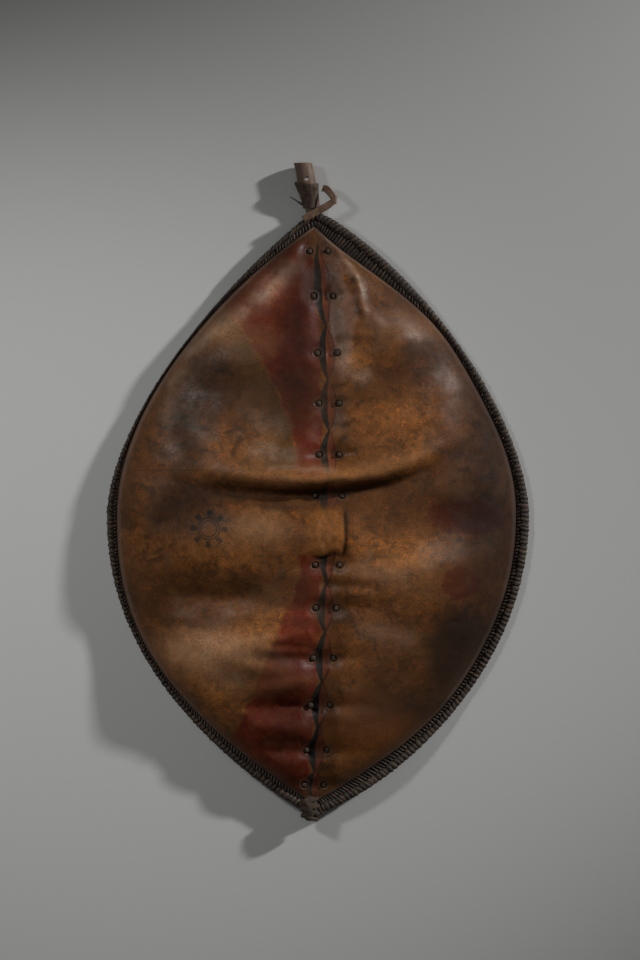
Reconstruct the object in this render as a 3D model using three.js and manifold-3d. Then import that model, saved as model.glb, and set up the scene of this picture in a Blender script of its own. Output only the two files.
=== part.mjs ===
// A pointed-oval rawhide shield, lying on its back with its front up.
// The hide is domed and laced to a carved stave behind its long middle line,
// and its edge sits on a rod bound all round with thong.
// Millimetres, +Z up. +Y runs to the stave's bare top end.
// While it is modelled, x = 0, y = 0 is the middle of the rim's outline and z = 0 the
// plane that the rim lies on. The last lines move the origin to the box's bottom centre.

import * as THREE from 'three';
import { mergeVertices } from 'three/addons/utils/BufferGeometryUtils.js';
import Module from 'manifold-3d';

const wasm = await Module();
wasm.setup();

// ---------- driving dimensions ----------

const GAP = 0.4;                 // between pieces that touch

// The rim's outer outline: half length, half width, and how full each quarter is.
const HALF_LENGTH = 453;
const HALF_WIDTH = 317.5;
const OUTLINE = {
  upperLeft: { power: 1.64, root: 0.94 },
  lowerLeft: { power: 2.18, root: 0.92 },
  upperRight: { power: 1.62, root: 0.8 },
  lowerRight: { power: 2.04, root: 0.76 },
};
const TIP_SHIFT_TOP = -5;        // the tips lie a little left of the middle
const TIP_SHIFT_BOTTOM = -9;

// The line where the domed hide meets the binding.
const HIDE_HALF_LENGTH_TOP = 430;
const HIDE_HALF_LENGTH_BOTTOM = 436;
const HIDE_HALF_WIDTH_LEFT = 303;
const HIDE_HALF_WIDTH_RIGHT = 298;
const HIDE_OUTLINE = {
  upperLeft: { power: 1.86, root: 0.94 },
  lowerLeft: { power: 2.5, root: 1.06 },
  upperRight: { power: 2.05, root: 1.26 },
  lowerRight: { power: 2.3, root: 1.04 },
};
const SHOULDER_BULGE = 30;       // the hide swells over the upper right rim
const SHOULDER_Y = 305;
const SHOULDER_REACH = 100;
const FLANK_BULGE = 18;          // and, less, over the lower right rim
const FLANK_Y = -330;
const FLANK_REACH = 110;

// The rim's bound rod.
const RIM_HEIGHT = 12;
const RIM_FOOT = 3;              // the rounded outer foot
const LEDGE_HEIGHT = 6;          // the hide's edge stands on this inner ledge
const LEDGE_WIDTH = 6;
const TIP_LIFT = 17.6;           // both tips sweep up, so that the stave passes below
const LIFT_START = 0.55;
const LIFT_END = 0.9;

// The hide.
const HIDE_THICKNESS = 5;
const CROWN_HEIGHT = 84;
const CROWN_POWER = 2.2;
const CROWN_ROOT = 0.8;
const SECTION_POWER = 2.6;
const SECTION_ROOT = 0.62;
const GROOVE_HALF_WIDTH = 19;    // the lacing draws the hide down to the stave
const SPINE_HEIGHT = 57;
const SPINE_FOOT = 24;

// Broad swells of the hide, in place along and across the shield.
const SWELLS = [
  { x: -130, y: 250, reachX: 90, reachY: 46, height: 8 },
  { x: -115, y: 172, reachX: 100, reachY: 42, height: -5 },
  { x: -118, y: -32, reachX: 110, reachY: 42, height: 6 },
  { x: -150, y: -128, reachX: 120, reachY: 40, height: -8 },
  { x: -118, y: -232, reachX: 100, reachY: 48, height: 9 },
  { x: 130, y: 275, reachX: 80, reachY: 50, height: 8 },
  { x: 80, y: 198, reachX: 85, reachY: 34, height: -5 },
  { x: 150, y: 0, reachX: 100, reachY: 38, height: -6 },
  { x: 180, y: -92, reachX: 100, reachY: 46, height: 8 },
  { x: 90, y: -300, reachX: 90, reachY: 50, height: 5 },
];
const FOLD_Y = 56;               // one strong fold runs across above the grip
const FOLD_CURVE_LEFT = 0.0004;
const FOLD_CURVE_RIGHT = 0.0014;
const FOLD_HEIGHT = 10;
const FOLD_DROP = 11;
const FOLD_HALF_LENGTH = 175;
const BOSS = { x: 17, y: -28, reach: 27, height: 13 };

// The stave, with its grip bowed away from the hide.
const MIDLINE_X = 16.5;
const MIDLINE_Y = 80;
const STAVE_TOP_Y = 525;
const STAVE_BOTTOM_Y = -446;
const STAVE_HALF_WIDTH = 10;
const STAVE_THICKNESS = 16;
const STAVE_TIP_THICKNESS = 13;
const STAVE_ARCH = 58.3;
const STAVE_ARCH_HALF_LENGTH = 408;
const STAVE_TIP_TOP = 17.2;
const BARE_END = { startY: 456, halfWidth: 14, thickness: 24, bottom: 5 };
const GRIP_Y = -25.5;
const GRIP_CLEARANCE = 36;
const GRIP_FLAT = 16;
const GRIP_HALF_LENGTH = 47;
const CORD_HOLE = { x: -17, y: 501, radius: 3.1 };

// The lacing: one thong at each of these places, with its two holes.
const LACING = [
  { y: 392, halfSpan: 13.5 },
  { y: 324, halfSpan: 15 },
  { y: 238.5, halfSpan: 15 },
  { y: 163.5, halfSpan: 15 },
  { y: 87, halfSpan: 15 },
  { y: 26, halfSpan: 20 },
  { y: -77, halfSpan: 18 },
  { y: -141, halfSpan: 15.5 },
  { y: -216, halfSpan: 15.5 },
  { y: -286.5, halfSpan: 15 },
  { y: -354, halfSpan: 15 },
  { y: -407, halfSpan: 15 },
];
const LACE_HOLE_RADIUS = 4.6;
const LACE_KNOB_RADIUS = 3.7;
const THONG_HALF_WIDTH = 2.7;
const THONG_HALF_THICKNESS = 1.7;

const STRAP_HALF_WIDTH = 4.6;
const STRAP_FOLD_HALF_WIDTH = 6.2;
const STRAP_HALF_THICKNESS = 1;

// How finely the hide is divided.
const ROWS = 38;
const COLUMNS_PER_SIDE = 12;

// ---------- the shape's formulas ----------

const smooth = (start, end, value) => THREE.MathUtils.smoothstep(value, start, end);
const bell = (distance, reach) => Math.exp(-((distance / reach) ** 2));

function quarter(side, y, table) {
  const height = y > 0 ? 'upper' : 'lower';
  return table[height + (side < 0 ? 'Left' : 'Right')];
}

function ovalX(side, fraction, halfWidth, table) {
  const { power, root } = quarter(side, fraction, table);
  const shift = (fraction > 0 ? TIP_SHIFT_TOP : TIP_SHIFT_BOTTOM) * fraction ** 2;
  const reach = Math.max(1 - Math.abs(fraction) ** power, 0) ** root;
  return shift + side * halfWidth * reach;
}

function outlinePoint(side, fraction) {
  return new THREE.Vector2(ovalX(side, fraction, HALF_WIDTH, OUTLINE), fraction * HALF_LENGTH);
}

function hideHalfLength(y) {
  return y > 0 ? HIDE_HALF_LENGTH_TOP : HIDE_HALF_LENGTH_BOTTOM;
}

function hideEdgeX(side, y) {
  const fraction = THREE.MathUtils.clamp(y / hideHalfLength(y), -1, 1);
  const halfWidth = side < 0 ? HIDE_HALF_WIDTH_LEFT : HIDE_HALF_WIDTH_RIGHT;
  const fade = Math.sqrt(Math.max(1 - fraction ** 8, 0));
  const bulge = SHOULDER_BULGE * bell(y - SHOULDER_Y, SHOULDER_REACH)
    + FLANK_BULGE * bell(y - FLANK_Y, FLANK_REACH);
  return ovalX(side, fraction, halfWidth, HIDE_OUTLINE) + (side > 0 ? bulge * fade : 0);
}

function hideEdgePoint(side, fraction) {
  const y = fraction * hideHalfLength(fraction);
  return new THREE.Vector2(hideEdgeX(side, y), y);
}

function tipLift(y) {
  return TIP_LIFT * smooth(LIFT_START, LIFT_END, Math.abs(y) / HALF_LENGTH);
}

function midlineX(y) {
  const rise = y > MIDLINE_Y;
  const reach = rise ? 436 : 533;
  const bend = rise ? 37.5 : 27;
  const power = rise ? 2.6 : 2;
  return MIDLINE_X - bend * (Math.abs(y - MIDLINE_Y) / reach) ** power;
}

function boss(x, y) {
  return BOSS.height * bell(Math.hypot(x - BOSS.x, y - BOSS.y), BOSS.reach);
}

function swell(x, y) {
  const foldLine = FOLD_Y + (x < 0 ? FOLD_CURVE_LEFT : FOLD_CURVE_RIGHT) * x * x;
  const along = Math.exp(-((x / FOLD_HALF_LENGTH) ** 4));
  const crest = FOLD_HEIGHT * bell(y - foldLine - 6, 32);
  const valley = FOLD_DROP * bell(y - foldLine + 32, 20);
  const broad = SWELLS.map((s) => s.height * bell(Math.hypot((x - s.x) / s.reachX, (y - s.y) / s.reachY), 1));
  return along * (crest - valley) + broad.reduce((sum, height) => sum + height, 0);
}

const hideFootZ = (y) => LEDGE_HEIGHT + GAP + tipLift(y);

// The height of the hide's front above its own foot, at a fraction u of the way
// from the middle line (0) to the edge (1).
function frontHeight(x, y, u) {
  const v = Math.min(Math.abs(y) / hideHalfLength(y), 1);
  const crown = CROWN_HEIGHT * (1 - v ** CROWN_POWER) ** CROWN_ROOT;
  const section = Math.max(1 - u ** SECTION_POWER, 0) ** SECTION_ROOT;
  const spine = SPINE_FOOT + SPINE_HEIGHT * (1 - v * v) - hideFootZ(y);
  const groove = Math.exp(-(((x - midlineX(y)) / GROOVE_HALF_WIDTH) ** 4)) * (1 - u ** 6);
  const fade = (1 - u ** 4) * (1 - v ** 6);
  const relief = swell(x, y) * fade * (1 - groove) + boss(x, y);
  return Math.max(crown * section * (1 - groove) + Math.max(spine, 0) * groove + relief, 0);
}

function hidePlace(side, u, y, inset) {
  const middle = midlineX(y);
  const edge = hideEdgeX(side, y) - side * inset;
  return middle + u * (edge - middle);
}

function hideFrontZ(x, y) {
  const middle = midlineX(y);
  const side = x < middle ? -1 : 1;
  const u = Math.min(Math.abs(x - middle) / Math.abs(hideEdgeX(side, y) - middle), 1);
  return hideFootZ(y) + frontHeight(x, y, u);
}

// Stations from tip to tip, closer together at the tips.
function stationFractions() {
  return Array.from({ length: ROWS + 1 }, (_, row) => {
    const even = (2 * row) / ROWS - 1;
    return 0.55 * even + 0.45 * Math.sin((Math.PI / 2) * even);
  });
}

// ---------- solids from rings and grids ----------

function geometryFrom(points, faces) {
  const geometry = new THREE.BufferGeometry();
  geometry.setAttribute('position', new THREE.Float32BufferAttribute(points.flatMap((p) => p.toArray()), 3));
  geometry.setIndex(faces.flat());
  return geometry;
}

// Joins rings of equal count into one closed body. Each ring turns the same way.
function loft(rings, closed = false) {
  const count = rings[0].length;
  const points = rings.flat();
  const faces = [];
  const spans = closed ? rings.length : rings.length - 1;
  for (let ring = 0; ring < spans; ring++) {
    const here = ring * count;
    const next = ((ring + 1) % rings.length) * count;
    for (let k = 0; k < count; k++) {
      const l = (k + 1) % count;
      faces.push([here + k, here + l, next + l], [here + k, next + l, next + k]);
    }
  }
  if (!closed) {
    const last = (rings.length - 1) * count;
    for (let k = 1; k < count - 1; k++) {
      faces.push([0, k + 1, k], [last, last + k, last + k + 1]);
    }
  }
  return geometryFrom(points, faces);
}

function solidOf(geometry) {
  const bare = new THREE.BufferGeometry();
  bare.setAttribute('position', geometry.getAttribute('position').clone());
  bare.setIndex(geometry.index.clone());
  const merged = mergeVertices(bare, 1e-4);
  return new wasm.Manifold(new wasm.Mesh({
    numProp: 3,
    vertProperties: new Float32Array(merged.getAttribute('position').array),
    triVerts: new Uint32Array(merged.index.array),
  }));
}

function geometryOf(solid) {
  const mesh = solid.getMesh();
  const geometry = new THREE.BufferGeometry();
  geometry.setAttribute('position', new THREE.BufferAttribute(new Float32Array(mesh.vertProperties), 3));
  geometry.setIndex(new THREE.BufferAttribute(new Uint32Array(mesh.triVerts), 1));
  return geometry;
}

function uprightPin(x, y, radius, bottom, top, sides = 8) {
  const pin = new THREE.CylinderGeometry(radius, radius, top - bottom, sides);
  pin.rotateX(Math.PI / 2);
  pin.translate(x, y, (top + bottom) / 2);
  pin.deleteAttribute('normal');
  pin.deleteAttribute('uv');
  return pin;
}

// A body along a path, with an oval section at each stop: { at, across, halfAcross, halfOther }.
function bodyAlong(stops, sides = 6) {
  const rings = stops.map((stop, index) => {
    const before = stops[Math.max(index - 1, 0)].at;
    const after = stops[Math.min(index + 1, stops.length - 1)].at;
    const forward = after.clone().sub(before).normalize();
    const other = forward.clone().cross(stop.across).normalize();
    const across = other.clone().cross(forward).normalize();
    return Array.from({ length: sides }, (_, k) => {
      const turn = (2 * Math.PI * (k + 0.5)) / sides;
      return stop.at.clone()
        .addScaledVector(across, stop.halfAcross * Math.cos(turn))
        .addScaledVector(other, stop.halfOther * Math.sin(turn));
    });
  });
  return loft(rings);
}

function named(name, geometry, colour, roughness) {
  const material = new THREE.MeshStandardMaterial({ color: colour, roughness, metalness: 0 });
  const mesh = new THREE.Mesh(geometry, material);
  mesh.name = name;
  return mesh;
}

// ---------- the hide ----------

function hideRows(inset, tipInset, thickness) {
  const columns = 2 * COLUMNS_PER_SIDE;
  const fractions = stationFractions();
  return fractions.map((fraction, row) => {
    const halfLength = hideHalfLength(fraction);
    const foot = hideFootZ(fraction * halfLength);
    const y = fraction * (halfLength - tipInset);
    if (row === 0 || row === ROWS) {
      return [new THREE.Vector3(hideEdgeX(1, fraction * halfLength), y, foot)];
    }
    return Array.from({ length: columns + 1 }, (_, column) => {
      const side = column < COLUMNS_PER_SIDE ? -1 : 1;
      const s = Math.abs(column - COLUMNS_PER_SIDE) / COLUMNS_PER_SIDE;
      const u = 0.25 * s + 0.75 * s * s * (3 - 2 * s);
      const x = hidePlace(side, u, y, inset);
      const height = frontHeight(x, y, u) - thickness * (1 - u ** 8);
      return new THREE.Vector3(x, y, foot + Math.max(height, 0));
    });
  });
}

function hideShell() {
  const columns = 2 * COLUMNS_PER_SIDE;
  const front = hideRows(GAP + 0.1, GAP + 0.3, 0);
  const back = hideRows(HIDE_THICKNESS + GAP, HIDE_THICKNESS + 4, HIDE_THICKNESS);
  const points = [...front.flat(), ...back.flat()];
  const faceCount = front.flat().length;
  const at = (row, column, layer) => {
    const start = row === 0 ? 0 : 1 + (row - 1) * (columns + 1);
    return layer * faceCount + start + (row === 0 || row === ROWS ? 0 : column);
  };
  const faces = [];
  const add = (a, b, c) => {
    if (a !== b && b !== c && a !== c) faces.push([a, b, c]);
  };
  for (let row = 0; row < ROWS; row++) {
    for (let column = 0; column < columns; column++) {
      add(at(row, column, 0), at(row, column + 1, 0), at(row + 1, column + 1, 0));
      add(at(row, column, 0), at(row + 1, column + 1, 0), at(row + 1, column, 0));
      add(at(row, column, 1), at(row + 1, column + 1, 1), at(row, column + 1, 1));
      add(at(row, column, 1), at(row + 1, column, 1), at(row + 1, column + 1, 1));
    }
    add(at(row, 0, 0), at(row + 1, 0, 0), at(row + 1, 0, 1));
    add(at(row, 0, 0), at(row + 1, 0, 1), at(row, 0, 1));
    add(at(row, columns, 0), at(row + 1, columns, 1), at(row + 1, columns, 0));
    add(at(row, columns, 0), at(row, columns, 1), at(row + 1, columns, 1));
  }
  let shell = solidOf(geometryFrom(points, faces));
  for (const lace of LACING) {
    for (const side of [-1, 1]) {
      const x = midlineX(lace.y) + side * lace.halfSpan;
      const surface = hideFrontZ(x, lace.y);
      shell = shell.subtract(solidOf(uprightPin(x, lace.y, LACE_HOLE_RADIUS, surface - 30, surface + 20)));
    }
  }
  return geometryOf(shell);
}

// ---------- the rim ----------

function rimSection(side, fraction) {
  const outer = outlinePoint(side, fraction);
  const inner = hideEdgePoint(side, fraction);
  const inward = inner.clone().sub(outer);
  const width = inward.length();
  inward.normalize();
  const lift = tipLift(inner.y);
  const at = (distance, z) => new THREE.Vector3(
    outer.x + inward.x * distance,
    outer.y + inward.y * distance,
    z + lift,
  );
  const foot = Math.min(RIM_FOOT, 0.3 * width);
  return [
    at(foot, 0),
    at(width + LEDGE_WIDTH, 0),
    at(width + LEDGE_WIDTH, LEDGE_HEIGHT),
    at(width, LEDGE_HEIGHT),
    at(width, RIM_HEIGHT - 2.5),
    at(0.7 * width, RIM_HEIGHT),
    at(0.28 * width, RIM_HEIGHT - 0.6),
    at(0, 0.6 * RIM_HEIGHT),
    at(0, 0.28 * RIM_HEIGHT),
  ];
}

function rimBinding() {
  const fractions = stationFractions();
  const right = fractions.map((fraction) => rimSection(1, fraction));
  const left = fractions.slice(1, -1).reverse().map((fraction) => rimSection(-1, fraction));
  return loft([...right, ...left], true);
}

// ---------- the stave ----------

function staveTopZ(y) {
  const v = Math.min(Math.abs(y) / STAVE_ARCH_HALF_LENGTH, 1);
  const bow = 1 - smooth(GRIP_FLAT, GRIP_HALF_LENGTH, Math.abs(y - GRIP_Y));
  return STAVE_TIP_TOP + STAVE_ARCH * (1 - v * v) - GRIP_CLEARANCE * bow;
}

function staveSize(y) {
  const bare = smooth(BARE_END.startY, BARE_END.startY + 42, y);
  const tip = smooth(360, 400, Math.abs(y));
  const along = THREE.MathUtils.lerp(STAVE_THICKNESS, STAVE_TIP_THICKNESS, tip);
  const slope = (staveTopZ(y + 1) - staveTopZ(y - 1)) / 2;
  const cut = Math.min(along * Math.hypot(1, slope), 1.6 * along);
  const top = THREE.MathUtils.lerp(staveTopZ(y), BARE_END.bottom + BARE_END.thickness, bare);
  const thickness = THREE.MathUtils.lerp(cut, BARE_END.thickness, bare);
  const grip = 1 - smooth(GRIP_FLAT, GRIP_HALF_LENGTH, Math.abs(y - GRIP_Y));
  const halfWidth = THREE.MathUtils.lerp(STAVE_HALF_WIDTH, BARE_END.halfWidth, bare) + 2 * grip;
  return { halfWidth, top, thickness, middle: top - thickness / 2 };
}

function evenSteps(start, end, step) {
  const count = Math.ceil((end - start) / step);
  return Array.from({ length: count }, (_, k) => start + ((end - start) * k) / count);
}

function staveStations() {
  const gripStart = GRIP_Y - GRIP_HALF_LENGTH;
  const gripEnd = GRIP_Y + GRIP_HALF_LENGTH;
  return [
    ...evenSteps(STAVE_BOTTOM_Y, gripStart, 24),
    ...evenSteps(gripStart, gripEnd, 7),
    ...evenSteps(gripEnd, BARE_END.startY, 24),
    ...evenSteps(BARE_END.startY, STAVE_TOP_Y, 11.5),
    STAVE_TOP_Y,
  ];
}

// A ring round the stave at one place, grown by a clearance all round.
function staveRing(y, grow = 0, sides = 8) {
  const { halfWidth, middle, thickness } = staveSize(y);
  const corner = Math.cos(Math.PI / sides);
  return Array.from({ length: sides }, (_, k) => {
    const turn = (2 * Math.PI * (k + 0.5)) / sides;
    return new THREE.Vector3(
      midlineX(y) - (halfWidth + grow) * Math.cos(turn) / corner,
      y,
      middle + (thickness / 2 + grow) * Math.sin(turn) / corner,
    );
  });
}

function stave() {
  const body = solidOf(loft(staveStations().map((y) => staveRing(y))));
  const hole = solidOf(uprightPin(CORD_HOLE.x, CORD_HOLE.y, CORD_HOLE.radius, -20, 60));
  return geometryOf(body.subtract(hole));
}

// ---------- the lacing ----------

function lashing({ y, halfSpan }) {
  const middle = midlineX(y);
  const size = staveSize(y);
  const beside = size.halfWidth + GAP + 2.4;
  const under = size.top - size.thickness - GAP - THONG_HALF_THICKNESS;
  const across = new THREE.Vector3(0, 1, 0);
  const stop = (x, z, half, thick) => ({
    at: new THREE.Vector3(x, y, z),
    across,
    halfAcross: half,
    halfOther: thick,
  });
  const legOf = (side) => {
    const hole = middle + side * halfSpan;
    const surface = hideFrontZ(hole, y);
    return [
      stop(hole, surface + 2.4, LACE_KNOB_RADIUS * 0.55, LACE_KNOB_RADIUS * 0.55),
      stop(hole, surface + 0.8, LACE_KNOB_RADIUS, LACE_KNOB_RADIUS),
      stop(hole, surface - 4.5, LACE_KNOB_RADIUS, LACE_KNOB_RADIUS * 0.9),
      stop(hole, surface - 8, THONG_HALF_WIDTH, THONG_HALF_THICKNESS),
      stop(middle + side * beside, under + 7, THONG_HALF_WIDTH, THONG_HALF_THICKNESS),
      stop(middle + side * (beside - 2.6), under + 1, THONG_HALF_WIDTH, THONG_HALF_THICKNESS),
      stop(middle + side * (beside - 7), under, THONG_HALF_WIDTH, THONG_HALF_THICKNESS),
    ];
  };
  return bodyAlong([...legOf(-1), ...legOf(1).reverse()]);
}

// ---------- the leather at the two tips ----------

function neckSleeve() {
  const places = [459, 470, 482, 493];
  const flare = (y) => 2.6 + 1.4 * smooth(480, 493, y);
  const outer = places.map((y) => staveRing(y, flare(y)));
  const inner = places.map((y) => staveRing(y, GAP)).reverse();
  return loft([...outer, ...inner], true);
}

function point(x, y, z) {
  return new THREE.Vector3(x, y, z);
}

// A flat strap that leaves the sleeve, folds back over itself and crosses the upper tip.
// face is the way that one of its faces looks, and it turns over at the fold.
function apexStrap() {
  const up = point(0, 0, 1);
  const down = point(0, 0, -1);
  const foldLine = point(0.13, 1, 0);
  const route = [
    { at: point(6.5, 487, 18), across: point(0.3, 1, 0), face: up, half: STRAP_HALF_WIDTH },
    { at: point(12, 486, 23), across: point(0.7, 0.7, 0), face: up, half: STRAP_HALF_WIDTH },
    { at: point(18.5, 479, 27.5), across: point(0.82, 0.57, 0), face: up, half: STRAP_HALF_WIDTH },
    { at: point(26, 469, 31.2), across: foldLine, face: up, half: STRAP_FOLD_HALF_WIDTH },
    { at: point(27.6, 468.8, 33), across: foldLine, face: point(-1, 0, 0), half: STRAP_FOLD_HALF_WIDTH },
    { at: point(26, 468.6, 34.8), across: foldLine, face: down, half: STRAP_FOLD_HALF_WIDTH },
    { at: point(14, 460, 34.8), across: point(-0.51, 0.86, 0), face: down, half: STRAP_HALF_WIDTH },
    { at: point(-4, 450, 34), across: point(-0.5, 0.86, 0), face: down, half: STRAP_HALF_WIDTH },
    { at: point(-22, 440, 32.8), across: point(-0.5, 0.86, 0), face: down, half: STRAP_HALF_WIDTH },
  ];
  const corners = [[1, -1], [1, 1], [-1, 1], [-1, -1]];
  return loft(route.map(({ at, across, face, half }) => corners.map(([a, b]) => at.clone()
    .addScaledVector(across.clone().normalize(), half * a)
    .addScaledVector(face, STRAP_HALF_THICKNESS * b))));
}

function thongTail() {
  const across = point(0, 0, 1);
  const stop = (x, y, z, half) => ({ at: point(x, y, z), across, halfAcross: half, halfOther: half });
  return bodyAlong([
    stop(-25.5, 463.5, 15.5, 1.9),
    stop(-30, 467, 17, 1.8),
    stop(-36, 471, 18.5, 1.5),
    stop(-42, 474.5, 19.5, 0.9),
  ]);
}

function tailKnot() {
  const across = point(1, 0, 0);
  const stop = (x, y, z, halfAcross, halfOther) => ({ at: point(x, y, z), across, halfAcross, halfOther });
  return bodyAlong([
    stop(-11, -424, 35, 5, 2),
    stop(-11.5, -430, 37, 11, 5.5),
    stop(-12, -440, 38, 15, 7),
    stop(-12.5, -449, 37.2, 14.5, 6.4),
    stop(-12.5, -457.4, 33.5, 12.5, 3.6),
    stop(-12, -459, 24, 9, 3.2),
    stop(-11, -458, 15, 5, 2.2),
  ], 8);
}

// ---------- the shield ----------

const shield = new THREE.Group();
shield.add(named('hide_shell', hideShell(), 0x8a5a34, 0.45));
shield.add(named('rim_binding', rimBinding(), 0x2c211b, 0.7));
shield.add(named('stave', stave(), 0x6b5340, 0.65));
LACING.forEach((lace, index) => {
  const number = String(index + 1).padStart(2, '0');
  shield.add(named(`lashing_${number}`, lashing(lace), 0x2a1d15, 0.7));
});
shield.add(named('neck_sleeve', neckSleeve(), 0x3a302a, 0.75));
shield.add(named('apex_strap', apexStrap(), 0x6e5138, 0.6));
shield.add(named('thong_tail', thongTail(), 0x3a3a36, 0.7));
shield.add(named('tail_knot', tailKnot(), 0x2a201a, 0.75));

const box = new THREE.Box3().setFromObject(shield);
const centre = box.getCenter(new THREE.Vector3());
shield.position.set(-centre.x, -centre.y, -box.min.z);

export default shield;
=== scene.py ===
"""A pointed-oval rawhide shield, lying on its back with its front up.

The hide is one domed, wrinkled sheet of dry rawhide. It is laced to a stave behind its
middle line and stitched to a thong-bound rod all round. Shapes are worked out in
millimetres about the middle of the rim's outline, and go into the meshes in metres.
"""
import bmesh
import bpy
import numpy as np
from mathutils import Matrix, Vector


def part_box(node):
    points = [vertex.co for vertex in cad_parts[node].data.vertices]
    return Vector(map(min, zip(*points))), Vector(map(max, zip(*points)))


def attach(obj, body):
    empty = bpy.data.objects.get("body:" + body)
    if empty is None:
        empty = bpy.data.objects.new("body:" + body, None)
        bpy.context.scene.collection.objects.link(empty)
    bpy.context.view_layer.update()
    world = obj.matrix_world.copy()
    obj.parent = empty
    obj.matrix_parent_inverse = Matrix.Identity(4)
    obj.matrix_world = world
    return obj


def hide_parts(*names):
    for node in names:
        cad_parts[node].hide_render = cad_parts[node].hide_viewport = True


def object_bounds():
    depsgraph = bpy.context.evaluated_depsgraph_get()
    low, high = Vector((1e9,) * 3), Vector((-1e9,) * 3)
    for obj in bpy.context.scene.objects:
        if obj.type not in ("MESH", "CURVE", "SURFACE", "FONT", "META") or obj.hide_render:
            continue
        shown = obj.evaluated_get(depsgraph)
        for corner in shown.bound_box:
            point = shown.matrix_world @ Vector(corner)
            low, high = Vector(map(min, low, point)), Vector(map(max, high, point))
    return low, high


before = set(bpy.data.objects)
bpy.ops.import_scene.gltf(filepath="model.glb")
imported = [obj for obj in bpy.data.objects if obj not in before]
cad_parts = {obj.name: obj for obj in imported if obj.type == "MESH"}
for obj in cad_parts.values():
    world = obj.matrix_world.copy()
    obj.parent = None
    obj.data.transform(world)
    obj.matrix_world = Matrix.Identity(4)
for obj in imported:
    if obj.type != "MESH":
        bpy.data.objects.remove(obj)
cad_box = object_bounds()

MM = 0.001
rim_low, rim_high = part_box("rim_binding")
RIM_MIDDLE = np.array([(rim_low.x + rim_high.x) / 2, (rim_low.y + rim_high.y) / 2, 0.0])

# ---------- sizes, in millimetres ----------

HALF_LENGTH = 453
HALF_WIDTH = 317.5
OUTLINE = {
    ("upper", "left"): (1.64, 0.94),
    ("lower", "left"): (2.18, 0.92),
    ("upper", "right"): (1.62, 0.8),
    ("lower", "right"): (2.04, 0.76),
}
TIP_SHIFT_TOP = -5
TIP_SHIFT_BOTTOM = -9

HIDE_HALF_LENGTH_TOP = 430
HIDE_HALF_LENGTH_BOTTOM = 436
HIDE_HALF_WIDTH_LEFT = 303
HIDE_HALF_WIDTH_RIGHT = 298
HIDE_OUTLINE = {
    ("upper", "left"): (1.86, 0.94),
    ("lower", "left"): (2.5, 1.06),
    ("upper", "right"): (2.05, 1.26),
    ("lower", "right"): (2.3, 1.04),
}
SHOULDER_BULGE = 30
SHOULDER_Y = 305
SHOULDER_REACH = 100
FLANK_BULGE = 18
FLANK_Y = -330
FLANK_REACH = 110

LEDGE_HEIGHT = 6
LEDGE_WIDTH = 6
TIP_LIFT = 17.6
LIFT_START = 0.55
LIFT_END = 0.9
GAP = 0.4

HIDE_THICKNESS = 5
CROWN_HEIGHT = 84
CROWN_POWER = 2.2
CROWN_ROOT = 0.8
SECTION_POWER = 2.6
SECTION_ROOT = 0.62
GROOVE_HALF_WIDTH = 19
SPINE_HEIGHT = 57
SPINE_FOOT = 24

# The visible swells stand this much higher than the solid's.
RELIEF_GAIN = 1.45
# Broad swells: x, y, reach across, reach along, height.
SWELLS = (
    (-130, 250, 90, 46, 8),
    (-115, 172, 100, 42, -5),
    (-118, -32, 110, 42, 6),
    (-150, -128, 120, 40, -8),
    (-118, -232, 100, 48, 9),
    (130, 275, 80, 50, 8),
    (80, 198, 85, 34, -5),
    (150, 0, 100, 38, -6),
    (180, -92, 100, 46, 8),
    (90, -300, 90, 50, 5),
)
# Creases and ridges of the dried hide: x and y of both ends, width, height.
CREASES = (
    (-118, 300, -196, 238, 15, 3.2),
    (-36, 393, -72, 331, 10, 2.4),
    (-22, 420, -16, 330, 11, -1.8),
    (32, 392, 58, 355, 8, 4.2),
    (58, 355, 66, 305, 8, 4.2),
    (66, 305, 88, 288, 9, 3.0),
    (-68, -196, -10, -201, 6, -3.2),
    (-52, -288, -10, -291, 6, -2.6),
    (-78, -340, -27, -341, 7, -2.6),
    (33, 255, 80, 254, 8, -2.8),
    (20, 184, 62, 186, 7, -2.4),
    (8, -104, 82, -110, 7, -2.8),
    (-200, -118, -120, -128, 20, -4.0),
    (-118, -150, -22, -142, 16, 4.0),
    (-92, -214, -20, -216, 11, -3.4),
    (-200, -205, -70, -226, 26, 3.6),
    (-95, -318, -22, -320, 11, 3.4),
    (-80, -262, -16, -252, 10, 2.8),
    (-70, -186, -14, -178, 9, 3.0),
    (150, -86, 250, -60, 18, 3.4),
    (60, 232, 130, 262, 15, 3.0),
    (96, 128, 210, 168, 20, 3.0),
    (-104, 118, -30, 92, 18, 3.0),
    (-150, 320, -60, 372, 8, 2.2),
)
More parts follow.
